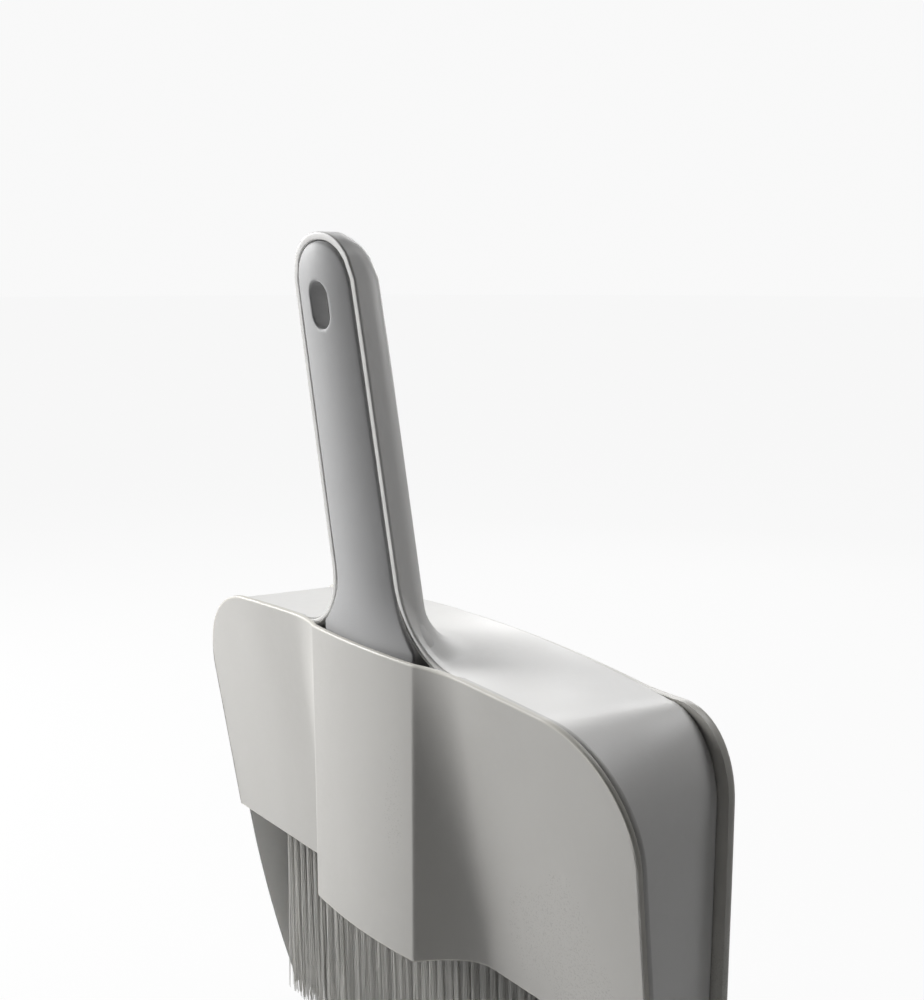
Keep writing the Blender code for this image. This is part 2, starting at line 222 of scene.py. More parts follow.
@dataclass(frozen=True)
class HangingSlot:
    """The stadium-shaped hole that runs through both handles.

    Attributes:
        half_width: Half its width, and the radius of its round ends.
        bottom: Height of its lowest point.
        top: Height of its highest point.
    """

    half_width: float = 4.8
    bottom: float = 303.2
    top: float = 318.0

    def distance(self, x: Array, z: Array) -> Array:
        """Distance outside the slot's edge: that to its middle line, less its half width.

        Args:
            x: Distance of each point from the middle.
            z: Height of each point.

        Returns:
            The distances, negative inside the slot.
        """
        middle = (self.bottom + self.top) / 2
        straight = (self.top - self.bottom) / 2 - self.half_width
        return np.hypot(x, np.maximum(0, np.abs(z - middle) - straight)) - self.half_width

    def half(self, turn: int, side: int) -> tuple[Array, Array]:
        """Points up the slot's right half: a quarter turn, a straight side and a quarter turn.

        Args:
            turn: Steps in each quarter turn.
            side: Steps in the straight side.

        Returns:
            The x and z of each point, from the slot's bottom to its top.
        """
        low, high = self.bottom + self.half_width, self.top - self.half_width
        angle = np.linspace(-math.pi / 2, 0, turn + 1)
        straight = np.linspace(low, high, side + 1)[1:-1]
        x = np.concatenate([np.cos(angle), np.ones_like(straight), np.cos(angle)[::-1]]) * self.half_width
        z_turn = np.sin(angle) * self.half_width
        z = np.concatenate([low + z_turn, straight, high - z_turn[::-1]])
        x[0] = x[-1] = 0.0
        return x, z


SLOT = HangingSlot()


def quarter_drop(distance: Array, radius: float) -> Array:
    """How far a rounded edge has dropped at a distance inside the edge: a quarter circle of that radius."""
    share = 1 - np.clip(distance / radius, 0, 1)
    return radius * (1 - np.sqrt(1 - share**2))


# ---------------------------------------------------------------- mesh building


@dataclass
class Surface:
    """Points and faces of a piece, in millimetres, with a mask that is 1 on its edges.

    Attributes:
        points: Points, one row each.
        faces: Arrays of vertex numbers, one row for each face.
        edge: One value for each point, 1 on a rounded edge and 0 elsewhere.
        caps: Flat faces with many corners, as lists of vertex numbers.
    """

    points: Array
    faces: list[Array]
    edge: Array | None = None
    caps: list[Array] = field(default_factory=list)

    def joined(self, other: "Surface") -> "Surface":
        """This surface and another as one, with the other's vertex numbers moved up.

        Args:
            other: The surface to add.

        Returns:
            The two together, not yet welded.
        """
        step = len(self.points)
        edges = [s.edge if s.edge is not None else np.zeros(len(s.points)) for s in (self, other)]
        return Surface(
            np.vstack([self.points, other.points]),
            self.faces + [faces + step for faces in other.faces],
            np.concatenate(edges),
            self.caps + [cap + step for cap in other.caps],
        )

    def mirrored(self) -> "Surface":
        """The surface on the other side of x = 0, with its faces turned to keep facing out."""
        flip = np.array((-1.0, 1.0, 1.0))
        return Surface(
            self.points * flip,
            [faces[:, ::-1] for faces in self.faces],
            self.edge,
            [cap[::-1] for cap in self.caps],
        )

    def both_sides(self) -> "Surface":
        """The surface together with its mirror image."""
        return self.joined(self.mirrored())


def grid_faces(rows: int, columns: int, wrap: bool = False) -> Array:
    """Four-sided faces of a grid whose point (r, c) has the number r * columns + c.

    Args:
        rows: Number of rows of points.
        columns: Number of points in a row.
        wrap: Whether each row closes on itself.

    Returns:
        One row of four vertex numbers for each face.
    """
    across = columns if wrap else columns - 1
    r, c = np.meshgrid(np.arange(rows - 1), np.arange(across), indexing="ij")
    here = r * columns + c
    beside = r * columns + (c + 1) % columns
    return np.stack([here, beside, beside + columns, here + columns], axis=-1).reshape(-1, 4)


def sheet(grid: Array) -> Surface:
    """A surface through a grid of points with shape (rows, columns, 3)."""
    rows, columns = grid.shape[:2]
    return Surface(grid.reshape(-1, 3), [grid_faces(rows, columns)])


def loft(rings: Array, capped: bool = True) -> Surface:
    """A surface through a row of rings.

    Args:
        rings: Points with shape (rings, points, 3).
        capped: Whether each end is closed by a flat cap.

    Returns:
        The surface.
    """
    count, around = rings.shape[:2]
    caps = [np.arange(around)[::-1], np.arange(around) + (count - 1) * around] if capped else []
    return Surface(rings.reshape(-1, 3), [grid_faces(count, around, wrap=True)], None, caps)


def turned(profile: Array, centre: tuple[float, float, float], sides: int) -> Surface:
    """A surface turned about an axis along Y.

    Args:
        profile: Rows of (radius, y), from one end to the other.
        centre: A point on the axis; its y is added to the profile's.
        sides: Number of steps round.

    Returns:
        The turned surface, with flat ends.
    """
    angle = np.arange(sides) / sides * math.tau
    radius, y = profile[:, :1], profile[:, 1:]
    x = centre[0] + radius * np.cos(angle)
    z = centre[2] + radius * np.sin(angle)
    return loft(np.stack([x, np.broadcast_to(centre[1] + y, x.shape), z], axis=-1))


def facing(surface: Surface, towards: tuple[float, float, float]) -> Surface:
    """The surface with its faces turned so that, summed by area, they look towards a direction.

    Args:
        surface: The surface, whose first block of faces decides.
        towards: The direction.

    Returns:
        The same surface.
    """
    faces = surface.faces[0]
    corner = surface.points[faces]
    normal = np.cross(corner[:, 2] - corner[:, 0], corner[:, 3] - corner[:, 1]).sum(0)
    if normal @ np.array(towards) < 0:
        surface.faces = [f[:, ::-1] for f in surface.faces]
    return surface


def welded(surface: Surface) -> tuple[Array, Array]:
    """Points without doubles, and faces on them, from a surface of four-sided faces.

    Args:
        surface: The surface, whose coinciding points become one.

    Returns:
        The points and the faces.
    """
    _, first, number = np.unique(
        np.round(surface.points, 3), axis=0, return_index=True, return_inverse=True
    )
    return surface.points[first], number.reshape(-1)[np.vstack(surface.faces)]


def vertex_normals(points: Array, faces: Array) -> Array:
    """Unit normals at the points: the sum of the faces' diagonal cross products, made unit length.

    Args:
        points: The points.
        faces: Four vertex numbers for each face.

    Returns:
        One normal for each point.
    """
    corner = points[faces]
    across = np.cross(corner[:, 2] - corner[:, 0], corner[:, 3] - corner[:, 1])
    normal = np.zeros_like(points)
    for k in range(4):
        np.add.at(normal, faces[:, k], across)
    return normal / np.maximum(np.linalg.norm(normal, axis=1, keepdims=True), 1e-9)


@dataclass
class Shell:
    """Gives an open surface a wall, with a rounded edge wherever the surface ends.

    The wall goes inwards along the normals. At the border the section runs from the outer face through a
    quarter turn of the outer radius, along the flat edge and through a quarter turn of the inner radius, so
    a border point is outer - c r (1 - sin a) - n r (1 - cos a), where c leads out of the surface and n is its
    normal, laid in the border's own plane where it has one.

    Attributes:
        thickness: Wall thickness from the points.
        outer_radius: Radius of the outer edge from the points.
        inner_radius: Radius of the inner edge.
        plane: Normals of the plane that a border lies in, or zero rows where it lies in none.
        steps: Steps in each quarter turn.
        margin: How far past each rounding the next row of points lies.
    """

    thickness: Callable[[Array], Array]
    outer_radius: Callable[[Array], Array]
    inner_radius: float
    plane: Callable[[Array], Array]
    steps: int = 5
    margin: float = 0.3

    def build(self, surface: Surface) -> Surface:
        """The closed wall.

        Args:
            surface: The outer face, of four-sided faces that look outwards.

        Returns:
            The closed surface, with its edge mask.
        """
        points, faces = welded(surface)
        normal = vertex_normals(points, faces)
        start, end = self.border(faces, len(points))
        vertex, place = np.unique(start, return_inverse=True)
        order = {number: row for row, number in enumerate(vertex)}
        after = np.array([order[number] for number in end])
        section = self.section(points, normal, vertex, start, end)
        wall = self.thickness(points)[:, None]
        inner = points - normal * wall
        outer = points.copy()
        outer[vertex] = section[0]
        inner[vertex] = section[-1]
        count, around = len(points), len(vertex)
        rings = section[1:-1].reshape(-1, 3)
        number = np.vstack(
            [
                vertex[None],
                2 * count + np.arange(len(section) - 2)[:, None] * around + np.arange(around)[None],
                vertex[None] + count,
            ]
        )
        low, high = number[:-1], number[1:]
        strips = np.stack([low[:, after], low[:, place], high[:, place], high[:, after]], axis=-1)
        # Mask: 1 on the rounded rings, where the finishes paint their edge highlight and edge shade.
        edge = np.concatenate([np.zeros(2 * count), np.ones(len(rings))])
        edge[2 * count + len(rings) - around :] = 0.0
        return Surface(
            np.vstack([outer, inner, rings]),
            [faces, faces[:, ::-1] + count, strips.reshape(-1, 4)],
            edge,
        )

    def border(self, faces: Array, count: int) -> tuple[Array, Array]:
        """The border's edges: those that no other face runs the other way along.

        Args:
            faces: Four vertex numbers for each face.
            count: Number of points.

        Returns:
            The numbers of the points where each edge starts and where it ends.
        """
        start = faces.reshape(-1)
        end = np.roll(faces, -1, axis=1).reshape(-1)
        keep = start != end
        start, end = start[keep], end[keep]
        alone = ~np.isin(start.astype(np.int64) * count + end, end.astype(np.int64) * count + start)
        return start[alone], end[alone]

    def section(self, points: Array, normal: Array, vertex: Array, start: Array, end: Array) -> Array:
        """The edge's section at each border point.

        Args:
            points: All points of the outer face.
            normal: Their normals.
            vertex: Numbers of the border's points.
            start: Where each border edge starts.
            end: Where each border edge ends.

        Returns:
            Points with shape (steps along the section, border points, 3).
        """
        along = points[end] - points[start]
        out = np.zeros_like(points)
        for side in (start, end):
            np.add.at(out, side, np.cross(along, normal[side]))
        out = out[vertex] / np.linalg.norm(out[vertex], axis=1, keepdims=True)
        at = points[vertex]
        flat = self.plane(at)
        inward = normal[vertex] - flat * (normal[vertex] * flat).sum(1, keepdims=True)
        inward /= np.linalg.norm(inward, axis=1, keepdims=True)
        wall = self.thickness(at)[:, None]
        radius = self.outer_radius(at)[:, None]
        angle = np.linspace(0, math.pi / 2, self.steps + 1)[:, None, None]
        outer = at - out * radius * (1 - np.sin(angle)) - inward * radius * (1 - np.cos(angle))
        small = self.inner_radius
        inner = (
            at - inward * (wall - small + small * np.sin(angle)) - out * small * (1 - np.cos(angle))
        )
        before = at - out * (radius + self.margin)
        after = at - inward * wall - out * (small + self.margin)
        return np.concatenate([before[None], outer, inner, after[None]])


def make_mesh(
    name: str, surface: Surface, sharp: float = 40.0, is_open: bool = False, **values: Array
) -> bpy.types.Mesh:
    """A mesh in the frame's metres from a surface in millimetres.

    Args:
        name: The mesh's name.
        surface: Points and faces.
        sharp: Angle in degrees past which an edge stays crisp.
        is_open: Whether the surface has no inside, so that its faces keep the way they look.
        **values: More values for each point, stored as attributes under their own names.

    Returns:
        The mesh, welded, facing outwards and shaded smooth.
    """
    points = (surface.points - ORIGIN) * MM
    faces = [face for block in surface.faces for face in block.tolist()]
    faces += [cap.tolist() for cap in surface.caps]
    mesh = bpy.data.meshes.new(name)
    mesh.from_pydata(points.tolist(), [], faces)
    edge = surface.edge if surface.edge is not None else np.zeros(len(points))
    for key, data in {"edge": edge, **values}.items():
        layer = mesh.attributes.new(key, "FLOAT", "POINT")
        layer.data.foreach_set("value", np.asarray(data, np.float32))
    bm = bmesh.new()
    bm.from_mesh(mesh)
    bmesh.ops.remove_doubles(bm, verts=bm.verts, dist=WELD)
    bmesh.ops.dissolve_degenerate(bm, edges=bm.edges, dist=WELD / 2)
    if not is_open:
        bmesh.ops.recalc_face_normals(bm, faces=bm.faces)
    bm.to_mesh(mesh)
    bm.free()
    mesh.shade_smooth()
    mesh.set_sharp_from_angle(angle=math.radians(sharp))
    return mesh


def cut_away(mesh: bpy.types.Mesh, tools: list[Surface], bevel: float = 0.0) -> bpy.types.Mesh:
    """The mesh with some solids taken out of it, and the new edges rounded.

    Args:
        mesh: The mesh to cut.
        tools: Solids to take out.
        bevel: Width in millimetres of the rounding along the cuts.

    Returns:
        The new mesh.
    """
    target = bpy.data.objects.new("cut_target", mesh)
    bpy.context.collection.objects.link(target)
    helpers = [target]
    for number, tool in enumerate(tools):
        cutter = bpy.data.objects.new(f"cutter_{number}", make_mesh("cutter", tool))
        bpy.context.collection.objects.link(cutter)
        cutter.hide_render = True
        modifier = target.modifiers.new("cut", "BOOLEAN")
        modifier.object = cutter
        helpers.append(cutter)
    bpy.context.view_layer.update()
    result = bpy.data.meshes.new_from_object(target.evaluated_get(bpy.context.evaluated_depsgraph_get()))
    for helper in helpers:
        bpy.data.objects.remove(helper)
    if bevel:
        bevel_slot(result, bevel)
    result.shade_smooth()
    result.set_sharp_from_angle(angle=math.radians(40))
    return result


def bevel_slot(mesh: bpy.types.Mesh, width: float) -> None:
    """Rounds the crisp edges round the hanging slot.

    Args:
        mesh: The mesh, in the frame's metres.
        width: Width of the rounding in millimetres.
    """
    reach = 0.08
    crisp = 0.9
    bm = bmesh.new()
    bm.from_mesh(mesh)
    found = []
    for edge in bm.edges:
        middle = np.array((edge.verts[0].co + edge.verts[1].co) / 2) / MM + ORIGIN
        near = abs(SLOT.distance(middle[0], middle[2])) < reach
        if near and len(edge.link_faces) == 2 and edge.calc_face_angle(0.0) > crisp:
            found.append(edge)
    bmesh.ops.bevel(bm, geom=found, offset=width * MM, segments=4, profile=0.5, affect="EDGES")
    bm.to_mesh(mesh)
    bm.free()


# ---------------------------------------------------------------- finishes


class NodeTree:
    """A short way to write shader nodes: it adds a node, sets its sockets and links them."""

    def __init__(self, tree: bpy.types.NodeTree) -> None:
        """Keeps the tree that the nodes go into."""
        self.tree = tree

    def add(self, kind: str, settings: dict[str, Any] | None = None, **sockets: Any) -> bpy.types.Node:
        """Adds one node.

        Args:
            kind: The node's type.
            settings: Properties of the node.
            **sockets: Inputs by name, with _ for a space; an output socket is linked, a value is set.

        Returns:
            The node.
        """
        node = self.tree.nodes.new(kind)
        for key, value in (settings or {}).items():
            setattr(node, key, value)
        for key, value in sockets.items():
            socket = node.inputs[int(key[1:])] if key[1:].isdigit() else node.inputs[key.replace("_", " ")]
            if isinstance(value, bpy.types.NodeSocket):
                self.tree.links.new(value, socket)
            else:
                socket.default_value = value
        return node

    def maths(
        self, operation: str, first: Any, second: Any = 0.0, clamp: bool = False
    ) -> bpy.types.NodeSocket:
        """The result of a Math node.

        Args:
            operation: The node's operation.
            first: A socket or a number.
            second: A socket or a number.
            clamp: Whether the result is kept from 0 to 1.

        Returns:
            The output socket.
        """
        node = self.add("ShaderNodeMath", {"operation": operation, "use_clamp": clamp}, _0=first, _1=second)
        return node.outputs[0]

    def spread(self, value: Any, low: float, high: float, start: float, end: float) -> bpy.types.NodeSocket:
        """A value mapped smoothly from one range to another and kept inside it.

        Args:
            value: A socket or a number.
            low: Where the first range starts.
            high: Where it ends.
            start: The result at low.
            end: The result at high.

        Returns:
            The output socket.
        """
        node = self.add(
            "ShaderNodeMapRange",
            {"interpolation_type": "SMOOTHSTEP"},
            Value=value, From_Min=low, From_Max=high, To_Min=start, To_Max=end,
        )
        return node.outputs[0]

    def blend(self, share: Any, first: Any, second: Any) -> bpy.types.NodeSocket:
        """A colour between two others.

        Args:
            share: How far it is towards the second, from 0 to 1.
            first: The first colour.
            second: The second colour.

        Returns:
            The output socket.
        """
        node = self.add("ShaderNodeMix", {"data_type": "RGBA"}, _0=share, _6=first, _7=second)
        return node.outputs[2]


def new_group(name: str, inputs: dict[str, Any], outputs: dict[str, str]) -> tuple[NodeTree, Any, Any]:
    """An empty shader node group with named sockets.

    Args:
        name: The group's name.
        inputs: Default values of its inputs by name: numbers, or four numbers for a colour.
        outputs: Kinds of its outputs by name, Float or Color.

    Returns:
        The tree, its input node and its output node.
    """
    tree = bpy.data.node_groups.new(name, "ShaderNodeTree")
    for key, value in inputs.items():
        kind = "NodeSocketColor" if isinstance(value, tuple) else "NodeSocketFloat"
        tree.interface.new_socket(key, in_out="INPUT", socket_type=kind).default_value = value
    for key, kind in outputs.items():
        tree.interface.new_socket(key, in_out="OUTPUT", socket_type=f"NodeSocket{kind}")
    nodes = NodeTree(tree)
    return nodes, nodes.add("NodeGroupInput"), nodes.add("NodeGroupOutput")


def noise(nodes: NodeTree, scale: Any, detail: float, stretch: tuple[float, float, float] = (1, 1, 1)) -> Any:
    """The value of a noise over Object coordinates.

    Args:
        nodes: The tree that the noise goes into.
        scale: Features per metre.
        detail: Number of finer layers.
        stretch: Factors on the coordinates; a small one draws the noise out along that axis.

    Returns:
        The output socket.
    """
    place = nodes.add("ShaderNodeTexCoord").outputs["Object"]
    mapped = nodes.add("ShaderNodeMapping", None, Vector=place, Scale=stretch).outputs[0]
    return nodes.add("ShaderNodeTexNoise", None, Vector=mapped, Scale=scale, Detail=detail).outputs["Fac"]


def moulded_grain() -> bpy.types.NodeTree:
    """Group: the fine spark-eroded grain of a mould, as a height, with a mask of its flat spots.

    Height = fine noise + a third of a noise three times as coarse. Flats = where the fine noise is low.
    """
    name = "moulded_grain"
    if name in bpy.data.node_groups:
        return bpy.data.node_groups[name]
    nodes, given, result = new_group(name, {"Scale": 1600.0}, {"Height": "Float", "Flats": "Float"})
    fine = noise(nodes, given.outputs["Scale"], 2.0)
    coarse = noise(nodes, nodes.maths("DIVIDE", given.outputs["Scale"], 3.0), 1.0)
    height = nodes.maths("ADD", fine, nodes.maths("MULTIPLY", coarse, 0.33))
    nodes.tree.links.new(height, result.inputs["Height"])
    nodes.tree.links.new(nodes.spread(fine, 0.35, 0.6, 1.0, 0.0), result.inputs["Flats"])
    return nodes.tree


def mould_flow() -> bpy.types.NodeTree:
    """Group: slow clouds of tone from the way plastic fills a mould, and finer mottling, both from 0 to 1."""
    name = "mould_flow"
    if name in bpy.data.node_groups:
        return bpy.data.node_groups[name]
    nodes, given, result = new_group(name, {"Cloud Scale": 14.0}, {"Cloud": "Float", "Mottle": "Float"})
    cloud = noise(nodes, given.outputs["Cloud Scale"], 2.0, (1.0, 1.0, 0.45))
    mottle = noise(nodes, nodes.maths("MULTIPLY", given.outputs["Cloud Scale"], 22.0), 3.0)
    nodes.tree.links.new(nodes.spread(cloud, 0.3, 0.7, 0.0, 1.0), result.inputs["Cloud"])
    nodes.tree.links.new(nodes.spread(mottle, 0.3, 0.7, 0.0, 1.0), result.inputs["Mottle"])
    return nodes.tree


def edge_tone() -> bpy.types.NodeTree:
    """Group: painted light and shade along the edges, a colour that changes to another there by the edge mask
    broken up by noise.
    """
    name = "edge_tone"
    if name in bpy.data.node_groups:
        return bpy.data.node_groups[name]
    sockets = {"Colour": (0.5, 0.5, 0.5, 1.0), "Edge Colour": (0.3, 0.3, 0.3, 1.0), "Amount": 0.5}
    nodes, given, result = new_group(name, sockets, {"Colour": "Color", "Mask": "Float"})
    mask = nodes.add("ShaderNodeAttribute", {"attribute_name": "edge"}).outputs["Fac"]
    broken = nodes.spread(noise(nodes, 90.0, 3.0), 0.25, 0.6, 0.7, 1.0)
    share = nodes.maths("MULTIPLY", nodes.maths("MULTIPLY", mask, broken), given.outputs["Amount"], True)
    mixed = nodes.blend(share, given.outputs["Colour"], given.outputs["Edge Colour"])
    nodes.tree.links.new(mixed, result.inputs["Colour"])
    nodes.tree.links.new(share, result.inputs["Mask"])
    return nodes.tree


def rubbed_marks() -> bpy.types.NodeTree:
    """Group: faint long scuffs down a piece, from 0 to 1: a noise stretched along z and cut off high."""
    name = "rubbed_marks"
    if name in bpy.data.node_groups:
        return bpy.data.node_groups[name]
    nodes, given, result = new_group(name, {"Scale": 260.0, "Reach": 0.62}, {"Marks": "Float"})
    lines = noise(nodes, given.outputs["Scale"], 4.0, (1.0, 1.0, 0.06))
    patches = nodes.spread(noise(nodes, 22.0, 2.0), 0.45, 0.65, 0.0, 1.0)
    above = nodes.maths("SUBTRACT", lines, given.outputs["Reach"])
    marks = nodes.maths("MULTIPLY", nodes.maths("MULTIPLY", above, 9.0, True), patches)
    nodes.tree.links.new(marks, result.inputs["Marks"])
    return nodes.tree


@dataclass(frozen=True)
class MouldedPlastic:
    """A moulded plastic or rubber.

    Attributes:
        name: The material's name.
        colour: Its colour, linear.
        edge_colour: The colour painted along its edges: a painted highlight where it is lighter,
            as of light through the thin wall, and painted shade where it is darker.
        painted_edge_amount: How far the edges take that painted colour.
        roughness: Its middle roughness.
        swing: How far the roughness moves either way with the grain and the flow.
        grain_scale: Fineness of the grain, features per metre.
        grain_depth: Depth of the grain in metres.
        cloud: How far slow clouds darken the colour.
        marks: How far scuffs lighten it.
        sheen: Weight of the soft sheen of rubber.
        subsurface: Weight of light scattered inside, as in milky plastic.
        specular: Strength of the reflection, 0.5 for common plastics.
    """

    name: str
    colour: tuple[float, float, float]
    edge_colour: tuple[float, float, float]
    painted_edge_amount: float
    roughness: float
    swing: float
    grain_scale: float
    grain_depth: float
    cloud: float = 0.05
    marks: float = 0.1
    sheen: float = 0.0
    subsurface: float = 0.0
    specular: float = 0.5

    def material(self) -> bpy.types.Material:
        """The material, made once."""
        if self.name in bpy.data.materials:
            return bpy.data.materials[self.name]
        material = bpy.data.materials.new(self.name)
        material.use_nodes = True
        nodes = NodeTree(material.node_tree)
        shader = material.node_tree.nodes["Principled BSDF"]
        grain = nodes.add("ShaderNodeGroup", {"node_tree": moulded_grain()}, Scale=self.grain_scale)
        flow = nodes.add("ShaderNodeGroup", {"node_tree": mould_flow()})
        marks = nodes.add("ShaderNodeGroup", {"node_tree": rubbed_marks()}).outputs["Marks"]
        dark = tuple(c * (1 - 2 * self.cloud) for c in self.colour) + (1.0,)
        body = nodes.blend(flow.outputs["Cloud"], (*self.colour, 1.0), dark)
        speck = tuple(c * (1 - self.cloud) for c in self.colour) + (1.0,)
        fine = nodes.maths("MULTIPLY", flow.outputs["Mottle"], 0.35)
        body = nodes.blend(fine, body, speck)
        pale = tuple(min(1.0, c * 1.25 + 0.02) for c in self.colour) + (1.0,)
        body = nodes.blend(nodes.maths("MULTIPLY", marks, self.marks), body, pale)
        # Painted light and shade along the edges: a painted highlight where the edge colour is lighter,
        # painted shade where it is darker.
        tone = nodes.add(
            "ShaderNodeGroup",
            {"node_tree": edge_tone()},
            Colour=body, Edge_Colour=(*self.edge_colour, 1.0), Amount=self.painted_edge_amount,
        )
        low, high = self.roughness - self.swing, self.roughness + self.swing
        rough = nodes.spread(flow.outputs["Cloud"], 0.0, 1.0, low, high)
        rough = nodes.maths("SUBTRACT", rough, nodes.maths("MULTIPLY", grain.outputs["Flats"], self.swing))
        rough = nodes.maths("ADD", rough, nodes.maths("MULTIPLY", marks, self.marks), True)
        bump = nodes.add(
            "ShaderNodeBump", None, Strength=1.0, Distance=self.grain_depth, Height=grain.outputs["Height"]
        )
        links = material.node_tree.links
        links.new(tone.outputs["Colour"], shader.inputs["Base Color"])
        links.new(rough, shader.inputs["Roughness"])
        links.new(bump.outputs[0], shader.inputs["Normal"])
        shader.inputs["Specular IOR Level"].default_value = self.specular
        shader.inputs["Sheen Weight"].default_value = self.sheen
        shader.inputs["Sheen Roughness"].default_value = 0.4
        shader.inputs["Subsurface Weight"].default_value = self.subsurface
        shader.inputs["Subsurface Scale"].default_value = 0.002
        shader.inputs["Subsurface Radius"].default_value = (1.0, 0.95, 0.85)
        return material


@dataclass(frozen=True)
class Filament:
    """Nylon filaments: each has its own tone, and the tips are a little darker and duller.

    Attributes:
        name: The material's name.
        light: Colour of the lightest filaments, linear.
        dark: Colour of the darkest filaments.
        tip: Colour that they wear to at the tips.
    """

    name: str = "bristle_nylon"
    light: tuple[float, float, float] = (0.78, 0.77, 0.74)
    dark: tuple[float, float, float] = (0.56, 0.55, 0.52)
    tip: tuple[float, float, float] = (0.47, 0.46, 0.43)

    def material(self) -> bpy.types.Material:
        """The material, made once, from the strand and along values that the bristles carry."""
        if self.name in bpy.data.materials:
            return bpy.data.materials[self.name]
        material = bpy.data.materials.new(self.name)
        material.use_nodes = True
        nodes = NodeTree(material.node_tree)
        shader = material.node_tree.nodes["Principled BSDF"]
        strand = nodes.add("ShaderNodeAttribute", {"attribute_name": "strand"}).outputs["Fac"]
        along = nodes.add("ShaderNodeAttribute", {"attribute_name": "along"}).outputs["Fac"]
        body = nodes.blend(strand, (*self.dark, 1.0), (*self.light, 1.0))
        worn = nodes.spread(along, 0.82, 1.0, 0.0, 0.8)
        body = nodes.blend(worn, body, (*self.tip, 1.0))
        rough = nodes.spread(along, 0.6, 1.0, 0.32, 0.6)
        material.node_tree.links.new(body, shader.inputs["Base Color"])
        material.node_tree.links.new(rough, shader.inputs["Roughness"])
        shader.inputs["Subsurface Weight"].default_value = 0.25
        shader.inputs["Subsurface Scale"].default_value = 0.001
        shader.inputs["Subsurface Radius"].default_value = (1.0, 1.0, 1.0)
        return material


@dataclass(frozen=True)
class PlatedSteel:
    """Zinc-plated steel: a cloudy tone and roughness with a very fine grain.

    Attributes:
        name: The material's name.
        colour: Colour of the bright plating, linear.
        dull: Colour of its cloudy places.
    """

    name: str = "screw_zinc"
    colour: tuple[float, float, float] = (0.62, 0.62, 0.60)
    dull: tuple[float, float, float] = (0.42, 0.43, 0.43)

    def material(self) -> bpy.types.Material:
        """The material, made once."""
        if self.name in bpy.data.materials:
            return bpy.data.materials[self.name]
        material = bpy.data.materials.new(self.name)
        material.use_nodes = True
        nodes = NodeTree(material.node_tree)
        shader = material.node_tree.nodes["Principled BSDF"]
        flow = nodes.add("ShaderNodeGroup", {"node_tree": mould_flow()}, Cloud_Scale=420.0)
        grain = nodes.add("ShaderNodeGroup", {"node_tree": moulded_grain()}, Scale=5200.0)
        colour = nodes.blend(flow.outputs["Cloud"], (*self.colour, 1.0), (*self.dull, 1.0))
        rough = nodes.spread(flow.outputs["Mottle"], 0.0, 1.0, 0.22, 0.42)
        bump = nodes.add("ShaderNodeBump", None, Distance=0.00001, Height=grain.outputs["Height"])
        links = material.node_tree.links
        links.new(colour, shader.inputs["Base Color"])
        links.new(rough, shader.inputs["Roughness"])
        links.new(bump.outputs[0], shader.inputs["Normal"])
        shader.inputs["Metallic"].default_value = 1.0
        return material


# Its darker edge colour is painted shade along the shell's rims and rounded edges.
PAN_GREY = MouldedPlastic(
    "pan_polypropylene", (0.81, 0.805, 0.79), (0.55, 0.545, 0.53), 0.7, 0.42, 0.07, 1500.0, 0.00002,
    subsurface=0.08,
)
# The pan's plastic made darker and warmer for the hood and the tray: painted shade, with the warm cast of
# light through the thin wall painted in. Its lighter edge colour is a painted highlight along the rims.
SHADED_WARM_GREY = MouldedPlastic(
    "hood_polypropylene", (0.53, 0.52, 0.495), (0.74, 0.72, 0.65), 0.5, 0.40, 0.07, 1700.0, 0.00002,
    subsurface=0.08,
)
SOFT_GREY = MouldedPlastic(
    "grip_elastomer", (0.37, 0.37, 0.372), (0.40, 0.38, 0.38), 0.3, 0.55, 0.07, 2100.0, 0.00003,
    sheen=0.15, specular=0.4,
)
LIP_GREY = MouldedPlastic(
    "lip_elastomer", (0.17, 0.17, 0.175), (0.26, 0.26, 0.26), 0.5, 0.62, 0.08, 1900.0, 0.00003,
    marks=0.35, sheen=0.1,
)
NYLON = Filament()
ZINC = PlatedSteel()


def add_piece(
    name: str, mesh: bpy.types.Mesh, finish: Any, body: Body, nodes: tuple[str, ...] = ()
) -> bpy.types.Object:
    """Puts a finished mesh in the scene as a piece of one body.

    Args:
        name: The piece's name.
        mesh: Its mesh, in the frame's metres.
        finish: Its finish.
        body: The body that it rides on.
        nodes: The frame's nodes that it stands for.

    Returns:
        The object.
    """
    mesh.materials.clear()
    mesh.materials.append(finish.material())
    piece = bpy.data.objects.new(name, mesh)
    bpy.context.collection.objects.link(piece)
    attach(piece, body.value)
    if nodes:
        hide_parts(*nodes)
    LOG.info("%s: %d faces on %s", name, len(mesh.polygons), body.value)
    return piece


# ---------------------------------------------------------------- dust pan


